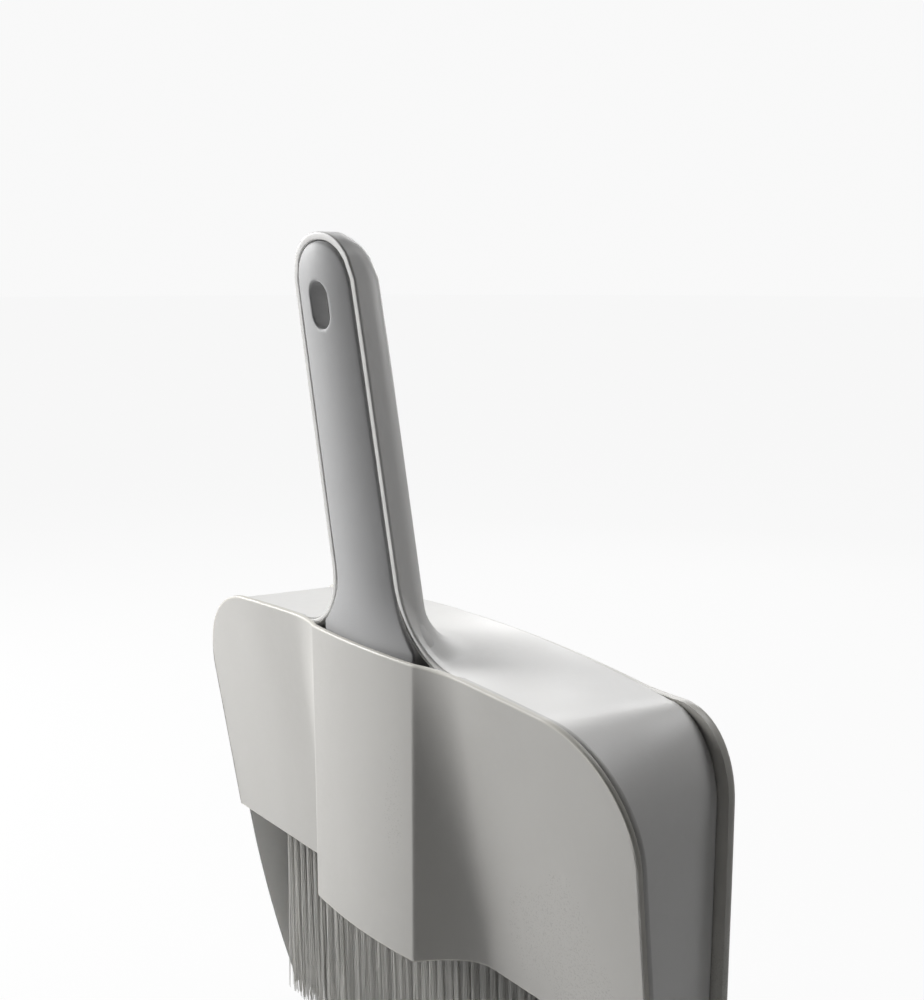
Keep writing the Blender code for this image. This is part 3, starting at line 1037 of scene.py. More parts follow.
@dataclass
class Dustpan:
    """The pan: a shell with its channel handle, a tray for a floor and a soft lip.

    Attributes:
        wall: Thickness of the side walls.
        handle_wall: Thickness of the handle's wall.
        handle_depth: Depth of the handle behind the parting plane.
        handle_corner: Radius of the handle's back corners.
        root_fillet: Radius where the handle's front edge runs into the shoulder.
        back_fillet: Radius where the handle's back runs into the shoulder.
        seam: Place along the outline where the handle's patch meets the wall's.
        rows: Steps from the front of the wall to its back.
        shoulder_radius: Rounding of the shoulder's front edge.
        rim_radius: Rounding of the handle's rim.
        floor_depth: The y of the floor's back.
        floor_skin: Thickness of the floor.
        floor_edge: How far the floor's rounded back edge runs in.
        flange_top: How far the floor stands out past the shell at the top; less than 0 is inside it.
        flange_side: The same at the sides.
        flange_from: Distance from the middle where the flange begins to grow.
        flange_reach: Width over which it grows.
        flange_drop: How far below the top the point lies that the flange grows away from.
        lip_half_width: Half the lip's length across the pan.
        lip_tip: Thickness of the lip's thin edge.
    """

    wall: float = 2.4
    handle_wall: float = RIM
    handle_depth: float = 12.5
    handle_corner: float = 7.0
    root_fillet: float = 25.0
    back_fillet: float = 15.0
    seam: float = 0.62
    rows: int = 12
    shoulder_radius: float = 2.2
    rim_radius: float = 0.6
    floor_depth: float = 5.2
    floor_skin: float = 2.4
    floor_edge: float = 3.6
    flange_top: float = -1.3
    flange_side: float = 4.4
    flange_from: float = 76.0
    flange_reach: float = 34.0
    flange_drop: float = 70.0
    lip_half_width: float = 111.0
    lip_tip: float = 1.2

    def build(self) -> None:
        """Builds and dresses the pan's three pieces."""
        pan = Body.DUSTPAN
        add_piece("pan_shell_skin", self.shell(), PAN_GREY, pan, ("pan_shell",))
        add_piece("pan_floor_tray", self.floor(), SHADED_WARM_GREY, pan, ("pan_floor",))
        add_piece("pan_lip_blade", self.lip(), LIP_GREY, pan, ("pan_lip",))

    def wall_point(self, q: Array, y: Array) -> tuple[Array, Array]:
        """A point of the wall's outer face: the front and back outlines blended by depth.

        Args:
            q: Place along the half outline, 0 to 3.
            y: Depth, from about -49 at the front to 0 at the back.

        Returns:
            The x and z.
        """
        share = 1 + y / WALL_DEPTH
        front_x, front_z = FRONT.point(q, PAN_BOTTOM)
        back_x, back_z = BACK.point(q, PAN_BOTTOM)
        return front_x + (back_x - front_x) * share, front_z + (back_z - front_z) * share

    def shoulder_z(self, x: Array, y: Array) -> Array:
        """Height of the shoulder's crown over a point of the plan: the two crowns blended by depth.

        Args:
            x: Distance from the middle.
            y: Depth.

        Returns:
            The height.
        """
        share = 1 + y / WALL_DEPTH
        reach_front = FRONT.half_width - FRONT.corner_x
        reach_back = BACK.half_width - BACK.corner_x
        along = np.abs(x) / (reach_front + (reach_back - reach_front) * share)
        front = FRONT.top - FRONT.crown * (reach_front * along / FRONT.half_width) ** 2
        back = BACK.top - BACK.crown * (reach_back * along / BACK.half_width) ** 2
        return front + (back - front) * share

    def side_wall(self) -> Surface:
        """The right part of the wall, from the seam over the corner and down the side."""
        q = np.concatenate(
            [np.linspace(self.seam, 1, 9), 1 + np.linspace(0, 1, 19)[1:], 2 + np.linspace(0, 1, 23)[1:]]
        )
        front_z = FRONT.point(q, PAN_BOTTOM)[1]
        depth = 1 - np.linspace(0, 1, self.rows + 1)
        y = parting(front_z)[:, None] * depth[None, :]
        x, z = self.wall_point(np.broadcast_to(q[:, None], y.shape), y)
        return facing(sheet(np.stack([x, y, z], axis=-1)), (1, 0, 1))

    def footprint(self, z: Array, flare: Array | float, share: Array | float) -> tuple[Array, Array]:
        """The right half of the handle's section, from its front edge to near the middle of its back.

        A straight side, a quarter turn and a flat back, all moved outwards by the flare.

        Args:
            z: Height of each point, with shape (levels, points).
            flare: How far the section has grown outwards, in the same shape.
            share: The round end's share of the full width, in the same shape.

        Returns:
            The x and y of each point.
        """
        width = PAN_HANDLE.half_width(z) * share + flare
        front = parting(z)
        depth = self.handle_depth * (0.55 + 0.45 * share) + flare
        corner = np.minimum(np.minimum(self.handle_corner + flare, width * 0.98), depth * 0.98)
        side = np.linspace(0, 1, 7)
        angle = np.linspace(0, math.pi / 2, 13)[1:]
        straight = np.concatenate([side, np.ones(13)])
        cosine = np.concatenate([np.ones(7), np.cos(angle), [0.0]])
        sine = np.concatenate([np.zeros(7), np.sin(angle), [1.0]])
        flat = np.concatenate([np.ones(19), [0.6]])
        x = (width - corner) * flat + corner * cosine
        y = front + (depth - corner) * straight + corner * sine
        return x, y

    def handle_sheet(self) -> Surface:
        """The right half of the handle's outer face, its root fillet and the shoulder round it.

        Down the handle the section follows the footprint. At the root it grows by R (1 - cos a) while its
        height above the shoulder falls as R (1 - sin a), where R shrinks from front to back. Past that,
        points move straight to the seam and the back edge in plan, and their height is the shoulder's.
        """
        count = 20
        rim_x, rim_z = PAN_HANDLE.rim(14)
        straight = np.linspace(229.0, 300.0, 10)
        levels = np.concatenate([rim_z[::-1][:-4], [318.9, straight[-1]], straight[::-1][1:]])
        share = PAN_HANDLE.share(levels)
        z = np.broadcast_to(levels[:, None], (len(levels), count))
        x, y = self.footprint(z, 0.0, np.broadcast_to(share[:, None], z.shape))
        x = np.where(z > rim_z[-1] - 1e-6, 0.0, x)
        grid = [np.stack([x, y, z], axis=-1)]
        angle = np.linspace(0, math.pi / 2, 15)[:, None] * np.ones(count)
        side = np.clip(np.arange(count) / 6, 0, 1)
        radius = self.root_fillet + (self.back_fillet - self.root_fillet) * side
        flare = radius * (1 - np.cos(angle))
        height = radius * (1 - np.sin(angle))
        z = SHOULDER_Z + height
        for _ in range(4):
            x, y = self.footprint(z, flare, 1.0)
            z = self.shoulder_z(x, y) + height
        grid.append(np.stack([x, y, z], axis=-1))
        grid.append(self.shoulder_rays(x[-1], y[-1]))
        return sheet(np.concatenate(grid))

    def shoulder_rays(self, x: Array, y: Array) -> Array:
        """Rays in plan from the root's outer ring to the seam and the back edge, laid on the shoulder.

        Args:
            x: The ring's x, from the front to near the middle of the back.
            y: The ring's y.

        Returns:
            Points with shape (rays' steps, ring's points, 3).
        """
        half = self.rows
        seam = np.full(half + 1, self.seam)
        seam_y = parting(FRONT.point(seam, PAN_BOTTOM)[1]) * (1 - np.linspace(0, 1, half + 1))
        seam_x = self.wall_point(seam, seam_y)[0]
        back_x = seam_x[-1] * x[half + 1 :] / x[half]
        end_x = np.concatenate([seam_x, back_x])
        end_y = np.concatenate([seam_y, np.zeros_like(back_x)])
        step = np.linspace(0, 1, 8)[1:, None]
        out_x = x + (end_x - x) * step
        out_y = y + (end_y - y) * step
        out_z = self.shoulder_z(out_x, out_y)
        out_y[:-1, 0] = parting(out_z[:-1, 0])
        return np.stack([out_x, out_y, out_z], axis=-1)

    def middle_strip(self, side: Surface, count: int) -> Surface:
        """The flat strip between the two halves of the handle's patch, from its right edge to its left.

        Args:
            side: The right half.
            count: Number of points in each of its rows.

        Returns:
            The strip.
        """
        edge = side.points.reshape(-1, count, 3)[:, -1]
        return sheet(np.stack([edge, edge * (-1.0, 1.0, 1.0)], axis=1))

    def shell(self) -> bpy.types.Mesh:
        """The closed shell: outer face, wall thickness, rounded edges, and the slot through the handle."""
        half = self.handle_sheet()
        strip = facing(self.middle_strip(half, 20), (0, 1, 1))
        half = facing(half, (1, 1, 1))
        face = half.both_sides().joined(strip).joined(self.side_wall().both_sides())
        wall = Shell(
            thickness=lambda p: np.interp(p[:, 2], (198.0, 224.0), (self.wall, self.handle_wall)),
            outer_radius=self.edge_radius,
            inner_radius=0.4,
            plane=self.border_plane,
        )
        mesh = make_mesh("pan_shell_skin", wall.build(face))
        return cut_away(mesh, [slot_tool()], bevel=0.5)

    def edge_radius(self, points: Array) -> Array:
        """Outer edge radius: the rim's on the handle, the shoulder's on the front, small at the back.

        Args:
            points: Border points.

        Returns:
            One radius for each point.
        """
        front = np.interp(points[:, 2], (196.0, 222.0), (self.shoulder_radius, self.rim_radius))
        return np.where(points[:, 1] > -1.0, 0.4, np.where(points[:, 2] < PAN_BOTTOM + 0.01, 0.5, front))

    def border_plane(self, points: Array) -> Array:
        """Normals of the plane that each border point lies in: the parting plane, the back or the mouth.

        Args:
            points: Border points.

        Returns:
            One unit normal for each point.
        """
        plane = parting_normal(points[:, 2])
        plane[points[:, 1] > -0.01] = (0.0, 1.0, 0.0)
        plane[points[:, 2] < PAN_BOTTOM + 0.01] = (0.0, 0.0, 1.0)
        return plane

    def floor_ring(self, q: Array, y: float, inset: float) -> Array:
        """The floor's outline at one depth.

        The back outline, moved out from a middle point by the flange less the inset. The flange grows as a
        smooth step from the top to the sides.

        Args:
            q: Places along the half outline, from 0 to 3.
            y: The depth.
            inset: How far the outline is moved in.

        Returns:
            The ring's points, from the bottom left over the top to the bottom right.
        """
        x, z = BACK.point(q, PAN_BOTTOM)
        x = np.concatenate([-x[:0:-1], x])
        z = np.concatenate([z[:0:-1], z])
        step = np.clip((np.abs(x) - self.flange_from) / self.flange_reach, 0, 1)
        flange = self.flange_top + (self.flange_side - self.flange_top) * step**2 * (3 - 2 * step)
        up = np.maximum(0, z - (BACK.top - self.flange_drop))
        out = (flange - inset) / np.hypot(x, up)
        out = np.where(np.abs(x) + up > 0, out, 0.0)
        return np.stack([x + out * x, np.full_like(x, y), z + out * up], axis=-1)

    def floor(self) -> bpy.types.Mesh:
        """The tray: an outline carried back with a rounded edge, less a recess that opens at the mouth."""
        q = np.concatenate(
            [np.linspace(0, 1, 25), 1 + np.linspace(0, 1, 17)[1:], 2 + np.linspace(0, 1, 13)[1:]]
        )
        flat = 1.8
        angle = np.linspace(0, math.pi / 2, 9)
        depths = np.concatenate([[GAP], flat + (self.floor_depth - flat) * np.sin(angle)])
        insets = np.concatenate([[0.0], self.floor_edge * (1 - np.cos(angle))])
        rings = np.array([self.floor_ring(q, y, inset) for y, inset in zip(depths, insets)])
        tray = loft(rings)
        # Mask for the painted highlight along the tray's rounded edge; the back face takes none.
        tray.edge = np.repeat(np.concatenate([[0.6, 0.8], np.full(8, 0.8)]), rings.shape[1])
        tray.edge[-rings.shape[1] :] = 0.0
        x, z = BACK.inset(self.wall).point(q, PAN_BOTTOM - 5.0)
        ring = np.stack([np.concatenate([-x[:0:-1], x]), np.concatenate([z[:0:-1], z])], axis=-1)
        recess = np.array(
            [
                np.stack([ring[:, 0], np.full(len(ring), y), ring[:, 1]], axis=-1)
                for y in (-3.0, self.floor_depth - self.floor_skin)
            ]
        )
        return cut_away(make_mesh("pan_floor_tray", tray), [loft(recess)])

    def lip(self) -> bpy.types.Mesh:
        """The blade along the mouth: a wedge section with round corners, carried across the pan."""
        top = PAN_BOTTOM - GAP
        corners = np.array(
            [
                (self.floor_depth - self.lip_tip, 0.0),
                (self.floor_depth, 0.0),
                (self.floor_depth, top),
                (GAP + 0.2, top),
                (GAP + 0.8, top - 2.5),
            ]
        )
        section = rounded_polygon(corners, np.array((0.4, 0.4, 0.5, 0.5, 1.2)), 4)
        x = np.linspace(-self.lip_half_width, self.lip_half_width, 61)
        rings = np.empty((len(x), len(section), 3))
        rings[..., 0] = x[:, None]
        rings[..., 1:] = section[None]
        blade = loft(rings)
        blade.edge = np.tile((section[:, 1] < 1.0).astype(float), len(x))
        return make_mesh("pan_lip_blade", blade)


def rounded_polygon(corners: Array, radii: Array, steps: int) -> Array:
    """A closed polygon with rounded corners.

    Each corner becomes a quadratic curve from the point that lies a radius before it to the one a radius
    after it, with the corner as its middle point.

    Args:
        corners: The corners, in order.
        radii: How far before and after each corner the curve starts and ends.
        steps: Steps in each curve.

    Returns:
        The points, in order.
    """
    back = np.roll(corners, 1, axis=0) - corners
    ahead = np.roll(corners, -1, axis=0) - corners
    start = corners + back / np.linalg.norm(back, axis=1, keepdims=True) * radii[:, None]
    end = corners + ahead / np.linalg.norm(ahead, axis=1, keepdims=True) * radii[:, None]
    t = np.linspace(0, 1, steps + 1)[None, :, None]
    curve = start[:, None] * (1 - t) ** 2 + corners[:, None] * 2 * t * (1 - t) + end[:, None] * t**2
    return curve.reshape(-1, corners.shape[1])


def slot_tool() -> Surface:
    """A solid in the shape of the hanging slot, long enough to pass through both handles."""
    x, z = SLOT.half(12, 4)
    ring = np.stack([np.concatenate([x, -x[-2:0:-1]]), np.concatenate([z, z[-2:0:-1]])], axis=-1)
    rings = np.array([np.insert(ring, 1, y, axis=1) for y in (-90.0, -30.0)])
    return loft(rings)


# ---------------------------------------------------------------- brush


@dataclass
class HandleBar:
    """A bar with a round end and the hanging slot through it, as a front and a back surface.

    Rays run across each surface from the outline to the middle line or, near the slot, to the slot's edge.

    Attributes:
        bottom: Height of the lower end.
        half_width: Half the width at a height, as if there were no round end.
        front: The y of the front face at x, z, the share of the width there and the share across.
        back: The same for the back face.
        stretch_from: Height where the rays begin to reach up to the slot.
        slot_from: Height on the outline of the ray that ends at the slot's bottom.
        edge_band: Width of the close rows along the outline.
        slot_band: Width of the close rows along the middle and the slot.
    """

    bottom: float
    half_width: Callable[[Array], Array]
    front: Callable[[Array, Array, Array, Array], Array]
    back: Callable[[Array, Array, Array, Array], Array]
    stretch_from: float = 290.0
    slot_from: float = 297.0
    edge_band: float = 1.2
    slot_band: float = 0.9

    def rays(self) -> tuple[Array, Array, Array, Array]:
        """Where each ray starts on the outline and ends in the middle: x, z, x, z."""
        low = np.linspace(self.bottom, self.stretch_from, 44)[:-1]
        below = np.array((13.2, 10.4, 8.0, 6.0, 4.4, 3.1, 2.1, 1.4, 0.9, 0.6, 0.38, 0.2, 0.07))
        near = np.linspace(self.stretch_from, self.slot_from, len(below) + 1)[:-1]
        high = np.linspace(self.slot_from, BRUSH_HANDLE.centre, 17)
        rim_x, rim_z = BRUSH_HANDLE.rim(24)
        z = np.concatenate([low, near, high, rim_z])
        x = np.concatenate([self.half_width(z[: -len(rim_z)]), rim_x])
        slot_x, slot_z = SLOT.half(16, 8)
        middle_z = np.concatenate([low, SLOT.bottom - below, slot_z])
        middle_x = np.concatenate([np.zeros(len(low) + len(near)), slot_x])
        return x, z, middle_x, middle_z

    def steps(self, length: Array) -> Array:
        """Distances along each ray: close together near both ends, where the edges are round.

        Args:
            length: Length of each ray.

        Returns:
            One row of distances for each ray.
        """
        edge = self.edge_band * np.array((0.0, 0.02, 0.1, 0.25, 0.5, 0.75))
        rim = self.slot_band * np.array((1.0, 0.6, 0.3, 0.1, 0.02, 0.0))
        fill = np.linspace(0, 1, 13)
        middle = self.edge_band + (length[:, None] - self.slot_band - self.edge_band) * fill[None, :-1]
        ones = np.ones((len(length), 1))
        return np.hstack([ones * edge, middle, length[:, None] - rim])

    def surface(self) -> Surface:
        """The closed bar."""
        x0, z0, x1, z1 = self.rays()
        length = np.hypot(x1 - x0, z1 - z0)
        along = self.steps(length) / length[:, None]
        x = x0[:, None] + (x1 - x0)[:, None] * along
        z = z0[:, None] + (z1 - z0)[:, None] * along
        power = BRUSH_HANDLE.power
        rise = np.maximum(0, z - BRUSH_HANDLE.centre) / BRUSH_HANDLE.radius
        across = np.minimum(1, ((np.abs(x) / self.half_width(z)) ** power + rise**power) ** (1 / power))
        share = BRUSH_HANDLE.share(z)
        rows, columns = x.shape
        inside = self.half_width(z) * (1 - across)
        front = np.stack([x, self.front(x, z, share, inside), z], axis=-1)
        back = np.stack([x, self.back(x, z, share, inside), z], axis=-1)
        first = self.slot_row(x1)
        side = np.stack([front[:, 0], back[:, 0]], axis=1)
        hole = np.stack([front[first:, -1], back[first:, -1]], axis=1)
        bar = sheet(front).joined(sheet(back)).joined(sheet(side)).joined(sheet(hole))
        bar.caps = [np.concatenate([np.arange(columns), rows * columns + np.arange(columns)[::-1]])]
        return bar.both_sides()

    def slot_row(self, middle_x: Array) -> int:
        """The number of the ray that ends at the slot's bottom: the last on the middle line before it.

        Args:
            middle_x: The x where each ray ends.

        Returns:
            The ray's number.
        """
        return int(np.argmax(middle_x > 0)) - 1


@dataclass
class Brush:
    """The brush: soft grip on a rigid core, hood, bristle block, bristles and screws.

    Attributes:
        grip_crown: How far the grip's front bulges out of the parting plane.
        lift: How far the front comes further forward next to the hood.
        lift_top: Height where that begins.
        lift_height: Height over which it grows.
        grip_skin: Depth of the soft skin behind the parting plane.
        core_depth: Depth of the core's back behind the parting plane.
        core_corner: Radius of the core's back corners.
        flare_z: Height where the handle begins to widen.
        flare_radius: Radius of that widening.
        widest: Half the grip's width at its lower end.
        grip_bottom: Height of the grip's lower end.
        tang_half_width: Half the width of the tang below the core.
        tang_bottom: Height of the tang's lower end.
        tang_waist: Height where the core has narrowed to the tang.
        hood_skin: Thickness of the hood.
        hood_bottom: Height of the hood's lower edge.
        hood_rise: How far the hood's arch stands above the pan's front outline.
        hood_half_width: Half the hood's width.
        spine_y: The y of the spine's creases.
        spine_half_width: Distance of a crease from the middle.
        spine_crown: How far the spine bulges between its creases.
        spine_ramp: Width of the ramp from a crease down to the wing.
        ramp_power: Power that the ramp follows.
        hood_taper: Share of its width that the hood loses for each millimetre further down.
        boss_radius: Radius of the hood's bosses.
        hole_radius: Radius of the holes that the screws go through and into.
        recess_depth: Depth of the recesses that the screws' heads sit in.
        screw_z: Height of the screws.
        hood_screws: Places across of the screws into the hood.
        handle_screws: Places across of the screws into the tang.
        block_front: The y of the block's front.
        block_back: The y of its back.
        block_chamfer: Size of the slope along its upper back edge.
    """

    grip_crown: float = 2.99
    lift: float = 2.3
    lift_top: float = 218.0
    lift_height: float = 24.0
    grip_skin: float = 3.5
    core_depth: float = 9.8
    core_corner: float = 3.9
    flare_z: float = 222.0
    flare_radius: float = 30.0
    widest: float = 26.4
    grip_bottom: float = 186.0
    tang_half_width: float = 20.0
    tang_bottom: float = 100.0
    tang_waist: float = 150.0
    hood_skin: float = 1.8
    hood_bottom: float = 96.0
    hood_rise: float = 1.4
    hood_half_width: float = 121.0
    spine_y: float = -54.2
    spine_half_width: float = 29.7
    spine_crown: float = 2.2
    spine_ramp: float = 20.0
    ramp_power: float = 2.2
    hood_taper: float = 0.00028
    boss_radius: float = 4.2
    hole_radius: float = 1.8
    recess_depth: float = 5.0
    screw_z: float = 106.0
    hood_screws: tuple[float, ...] = (-92.0, -60.0, 60.0, 92.0)
    handle_screws: tuple[float, ...] = (-11.0, 11.0)
    block_front: float = -30.0
    block_back: float = -4.0
    block_chamfer: float = 5.0

    def build(self) -> None:
        """Builds and dresses every piece of the brush."""
        brush = Body.BRUSH
        add_piece("grip_skin", self.grip(), SOFT_GREY, brush, ("handle_grip",))
        add_piece("grip_core", self.core(), PAN_GREY, brush, ("handle_core",))
        add_piece("hood_panel", self.hood(), SHADED_WARM_GREY, brush, ("brush_hood",))
        add_piece("hood_bosses", self.bosses(), SHADED_WARM_GREY, brush)
        add_piece("bristle_bar", self.block(), PAN_GREY, brush, ("bristle_block",))
        for row in BristleRow.all_rows():
            row.build()
        for number, x in enumerate(self.hood_screws, 1):
            tip = float(self.hood_face(np.array(x), np.array(self.screw_z))) + self.hood_skin + GAP
            self.screw(f"hood_screw_{number}", x, tip)
        for number, x in enumerate(self.handle_screws, 1):
            tip = float(parting(np.array(self.screw_z))) + self.grip_skin + 1.5
            self.screw(f"handle_screw_{number}", x, tip)

    def grip_half_width(self, z: Array) -> Array:
        """Half the grip's width: the handle's, and a quarter turn outwards below the flare's height.

        Args:
            z: Height.

        Returns:
            The half width.
        """
        depth = np.clip(self.flare_z - z, 0, self.flare_radius)
        flare = self.flare_radius - np.sqrt(self.flare_radius**2 - depth**2)
        return np.minimum(self.widest, BRUSH_HANDLE.half_width(z) + flare)

    def core_half_width(self, z: Array) -> Array:
        """Half the core's width: the grip's, narrowing in a straight line to the tang.

        Args:
            z: Height.

        Returns:
            The half width.
        """
        share = np.clip((self.grip_bottom - z) / (self.grip_bottom - self.tang_waist), 0, 1)
        return self.grip_half_width(z) + (self.tang_half_width - self.widest) * share

    def grip(self) -> bpy.types.Mesh:
        """The soft skin, with round edges along its side and its slot.

        Its front bulges as 1 - (x / w)^2. Near the hood the whole front comes forward as a smooth step,
        towards the hood's spine.
        """

        def front(x: Array, z: Array, share: Array, inside: Array) -> Array:
            """The bulging front face."""
            width = np.maximum(self.grip_half_width(z) * share, 1e-6)
            step = np.clip((self.lift_top - z) / self.lift_height, 0, 1)
            bulge = (0.2 + (self.grip_crown - 0.2) * share) * (1 - np.minimum(1, np.abs(x) / width) ** 2)
            bulge = bulge + self.lift * step**2 * (3 - 2 * step)
            drop = quarter_drop(inside, 1.1) + quarter_drop(SLOT.distance(x, z), 0.8)
            return parting(z) - bulge + drop

        def back(x: Array, z: Array, share: Array, inside: Array) -> Array:
            """The flat back face, on the core."""
            return parting(z) + self.grip_skin

        bar = HandleBar(self.grip_bottom, self.grip_half_width, front, back)
        return make_mesh("grip_skin", bar.surface(), sharp=50)

    def core(self) -> bpy.types.Mesh:
        """The rigid bar: flat in front, with round corners at the back, and the tang below."""

        def front(x: Array, z: Array, share: Array, inside: Array) -> Array:
            """The flat front face, behind the skin."""
            return parting(z) + self.grip_skin + GAP + quarter_drop(inside, 0.4)

        def back(x: Array, z: Array, share: Array, inside: Array) -> Array:
            """The back face, with round corners."""
            depth = self.core_depth * (0.6 + 0.4 * share)
            slot = quarter_drop(SLOT.distance(x, z), 0.6)
            return parting(z) + depth - quarter_drop(inside, self.core_corner) * 0.98 - slot

        bar = HandleBar(self.tang_bottom, self.core_half_width, front, back)
        mesh = make_mesh("grip_core", bar.surface(), sharp=50)
        holes = []
        for x in self.handle_screws:
            tip = float(parting(np.array(self.screw_z))) + self.grip_skin + 1.2
            profile = np.array([(self.hole_radius, 0.0), (self.hole_radius, 12.0)])
            holes.append(turned(profile, (x, tip, self.screw_z), 32))
        return cut_away(mesh, holes)

    def hood_face(self, x: Array, z: Array) -> Array:
        """The y of the hood's outer face.

        Wings follow the parting plane. Between them a spine stands proud, with a crown that falls as the
        square of x, and ramps lead down to the wings as (1 - s)^2.2. The mean over a short window across
        rounds the crease between spine and ramp.

        Args:
            x: Distance from the middle.
            z: Height.

        Returns:
            The y of the face.
        """
        wing = PARTING_Y - TILT * (z - SHOULDER_Z) - GAP - self.hood_skin
        total = np.zeros(np.broadcast(x, z).shape)
        window = np.linspace(-0.5, 0.5, 7)
        for step in window:
            across = np.abs(x + step)
            crown = self.spine_y - self.spine_crown * (1 - (across / self.spine_half_width) ** 2)
            share = np.clip((across - self.spine_half_width) / self.spine_ramp, 0, 1)
            ramp = wing - (wing - self.spine_y) * (1 - share) ** self.ramp_power
            total += np.where(across <= self.spine_half_width, crown, ramp)
        return total / len(window)

    def hood(self) -> bpy.types.Mesh:
        """The hood's panel: columns from the middle to the edge, each run from the bottom to the arch."""
        half = FRONT.inset(0.5)
        reach = half.half_width - half.corner_x
        ramp = self.spine_half_width + self.spine_ramp * (np.arange(1, 19) / 18) ** 1.3
        across = np.concatenate(
            [
                np.linspace(0, self.spine_half_width - 1.5, 12),
                self.spine_half_width + np.array((-0.5, -0.15)),
                ramp,
                np.linspace(ramp[-1], reach, 13)[1:],
            ]
        )
        crown = FRONT.crown * (across / FRONT.half_width) ** 2
        angle = np.linspace(0, math.pi / 2, 25)[1:]
        x = np.concatenate([across, reach + half.corner_x * np.sin(angle)])
        shoulder = half.top - crown[-1]
        top = np.concatenate([half.top - crown, shoulder - half.corner_z * (1 - np.cos(angle))])
        top = top + self.hood_rise
        rows = np.linspace(0, 1, 33)
        z = self.hood_bottom + (top[:, None] - self.hood_bottom) * rows[None]
        wide = self.hood_half_width / half.half_width * x[:, None]
        wide = wide * (1 - self.hood_taper * (top[:, None] - z))
        face = sheet(np.stack([wide, self.hood_face(wide, z), z], axis=-1))
        wall = Shell(
            thickness=lambda p: np.full(len(p), self.hood_skin),
            outer_radius=lambda p: np.full(len(p), 0.6),
            inner_radius=0.4,
            plane=lambda p: np.zeros_like(p),
        )
        return make_mesh("hood_panel", wall.build(facing(face, (0, -1, 0)).both_sides()))

    def bosses(self) -> bpy.types.Mesh:
        """Four tubes behind the hood that take the screws, each with a foot that spreads on to the panel."""
        made = None
        for x in self.hood_screws:
            start = float(self.hood_face(np.array(x), np.array(self.screw_z))) + self.hood_skin * 0.6
            length = self.block_front - GAP - start
            foot = self.boss_radius + 1.2 * np.exp(-np.linspace(0, 4, 7))
            outer = np.stack([foot, 0.8 + np.linspace(0, 2.4, 7)], axis=-1)
            profile = np.vstack(
                [
                    [(self.hole_radius, 0.8)],
                    [(foot[0], 0.0)],
                    outer,
                    [(self.boss_radius, length - 0.4), (self.boss_radius - 0.4, length)],
                    [(2.1, length), (self.hole_radius, length - 0.4), (self.hole_radius, 0.8)],
                ]
            )
            tube = turned(profile, (x, start, self.screw_z), 32)
            tube.caps = []
            made = tube if made is None else made.joined(tube)
        return make_mesh("hood_bosses", made)

    def block(self) -> bpy.types.Mesh:
        """The bar that holds the bristles: a rounded section carried across, with its socket and holes."""
        bottom, top, half = 94.0, 118.0, 103.0
        section = rounded_polygon(
            np.array(
                [
                    (self.block_front, bottom),
                    (self.block_back, bottom),
                    (self.block_back, top - self.block_chamfer),
                    (self.block_back - self.block_chamfer, top),
                    (self.block_front, top),
                ]
            ),
            np.array((1.2, 1.2, 2.4, 2.4, 1.2)),
            5,
        )
        centre = section.mean(0)
        shrink = 0.8 * (1 - np.sin(np.linspace(0, math.pi / 2, 5)))
        out = np.concatenate([shrink, np.zeros(21), shrink[::-1]])
        inner = half - 0.8
        turn = 0.8 * np.sin(np.linspace(math.pi / 2, 0, 5))
        x = np.concatenate([-inner - turn, np.linspace(-inner, inner, 23)[1:-1], inner + turn[::-1]])
        reach = np.linalg.norm(section - centre, axis=1)[None, :, None]
        scaled = centre + (section - centre)[None] * (1 - out[:, None, None] / reach)
        rings = np.concatenate([np.broadcast_to(x[:, None, None], (len(x), len(section), 1)), scaled], axis=2)
        tools = [self.socket(top)]
        for place in self.hood_screws + self.handle_screws:
            hole = np.array(
                [(self.hole_radius, self.block_front - 2), (self.hole_radius, self.block_back + 2)]
            )
            tools.append(turned(hole, (place, 0.0, self.screw_z), 32))
            recess = np.array([(4.0, self.block_back - self.recess_depth), (4.0, self.block_back + 3)])
            tools.append(turned(recess, (place, 0.0, self.screw_z), 32))
        return cut_away(make_mesh("bristle_bar", loft(rings)), tools)

    def socket(self, top: float) -> Surface:
        """The slot in the block that the tang goes into: a rectangle with round back corners.

        Args:
            top: Height of the block's top, which the slot runs past.

        Returns:
            The solid to take out.
        """
        rings = []
        for z in (self.tang_bottom - GAP, top + 6.0):
            front = float(parting(np.array(z))) + self.grip_skin
            back = float(parting(np.array(z))) + self.core_depth + 0.4
            half = self.tang_half_width + GAP
            corners = np.array([(-half, front), (half, front), (half, back), (-half, back)])
            ring = rounded_polygon(corners, np.array((0.1, 0.1, 2.0, 2.0)), 5)
            rings.append(np.insert(ring, 2, z, axis=1))
        return loft(np.array(rings))

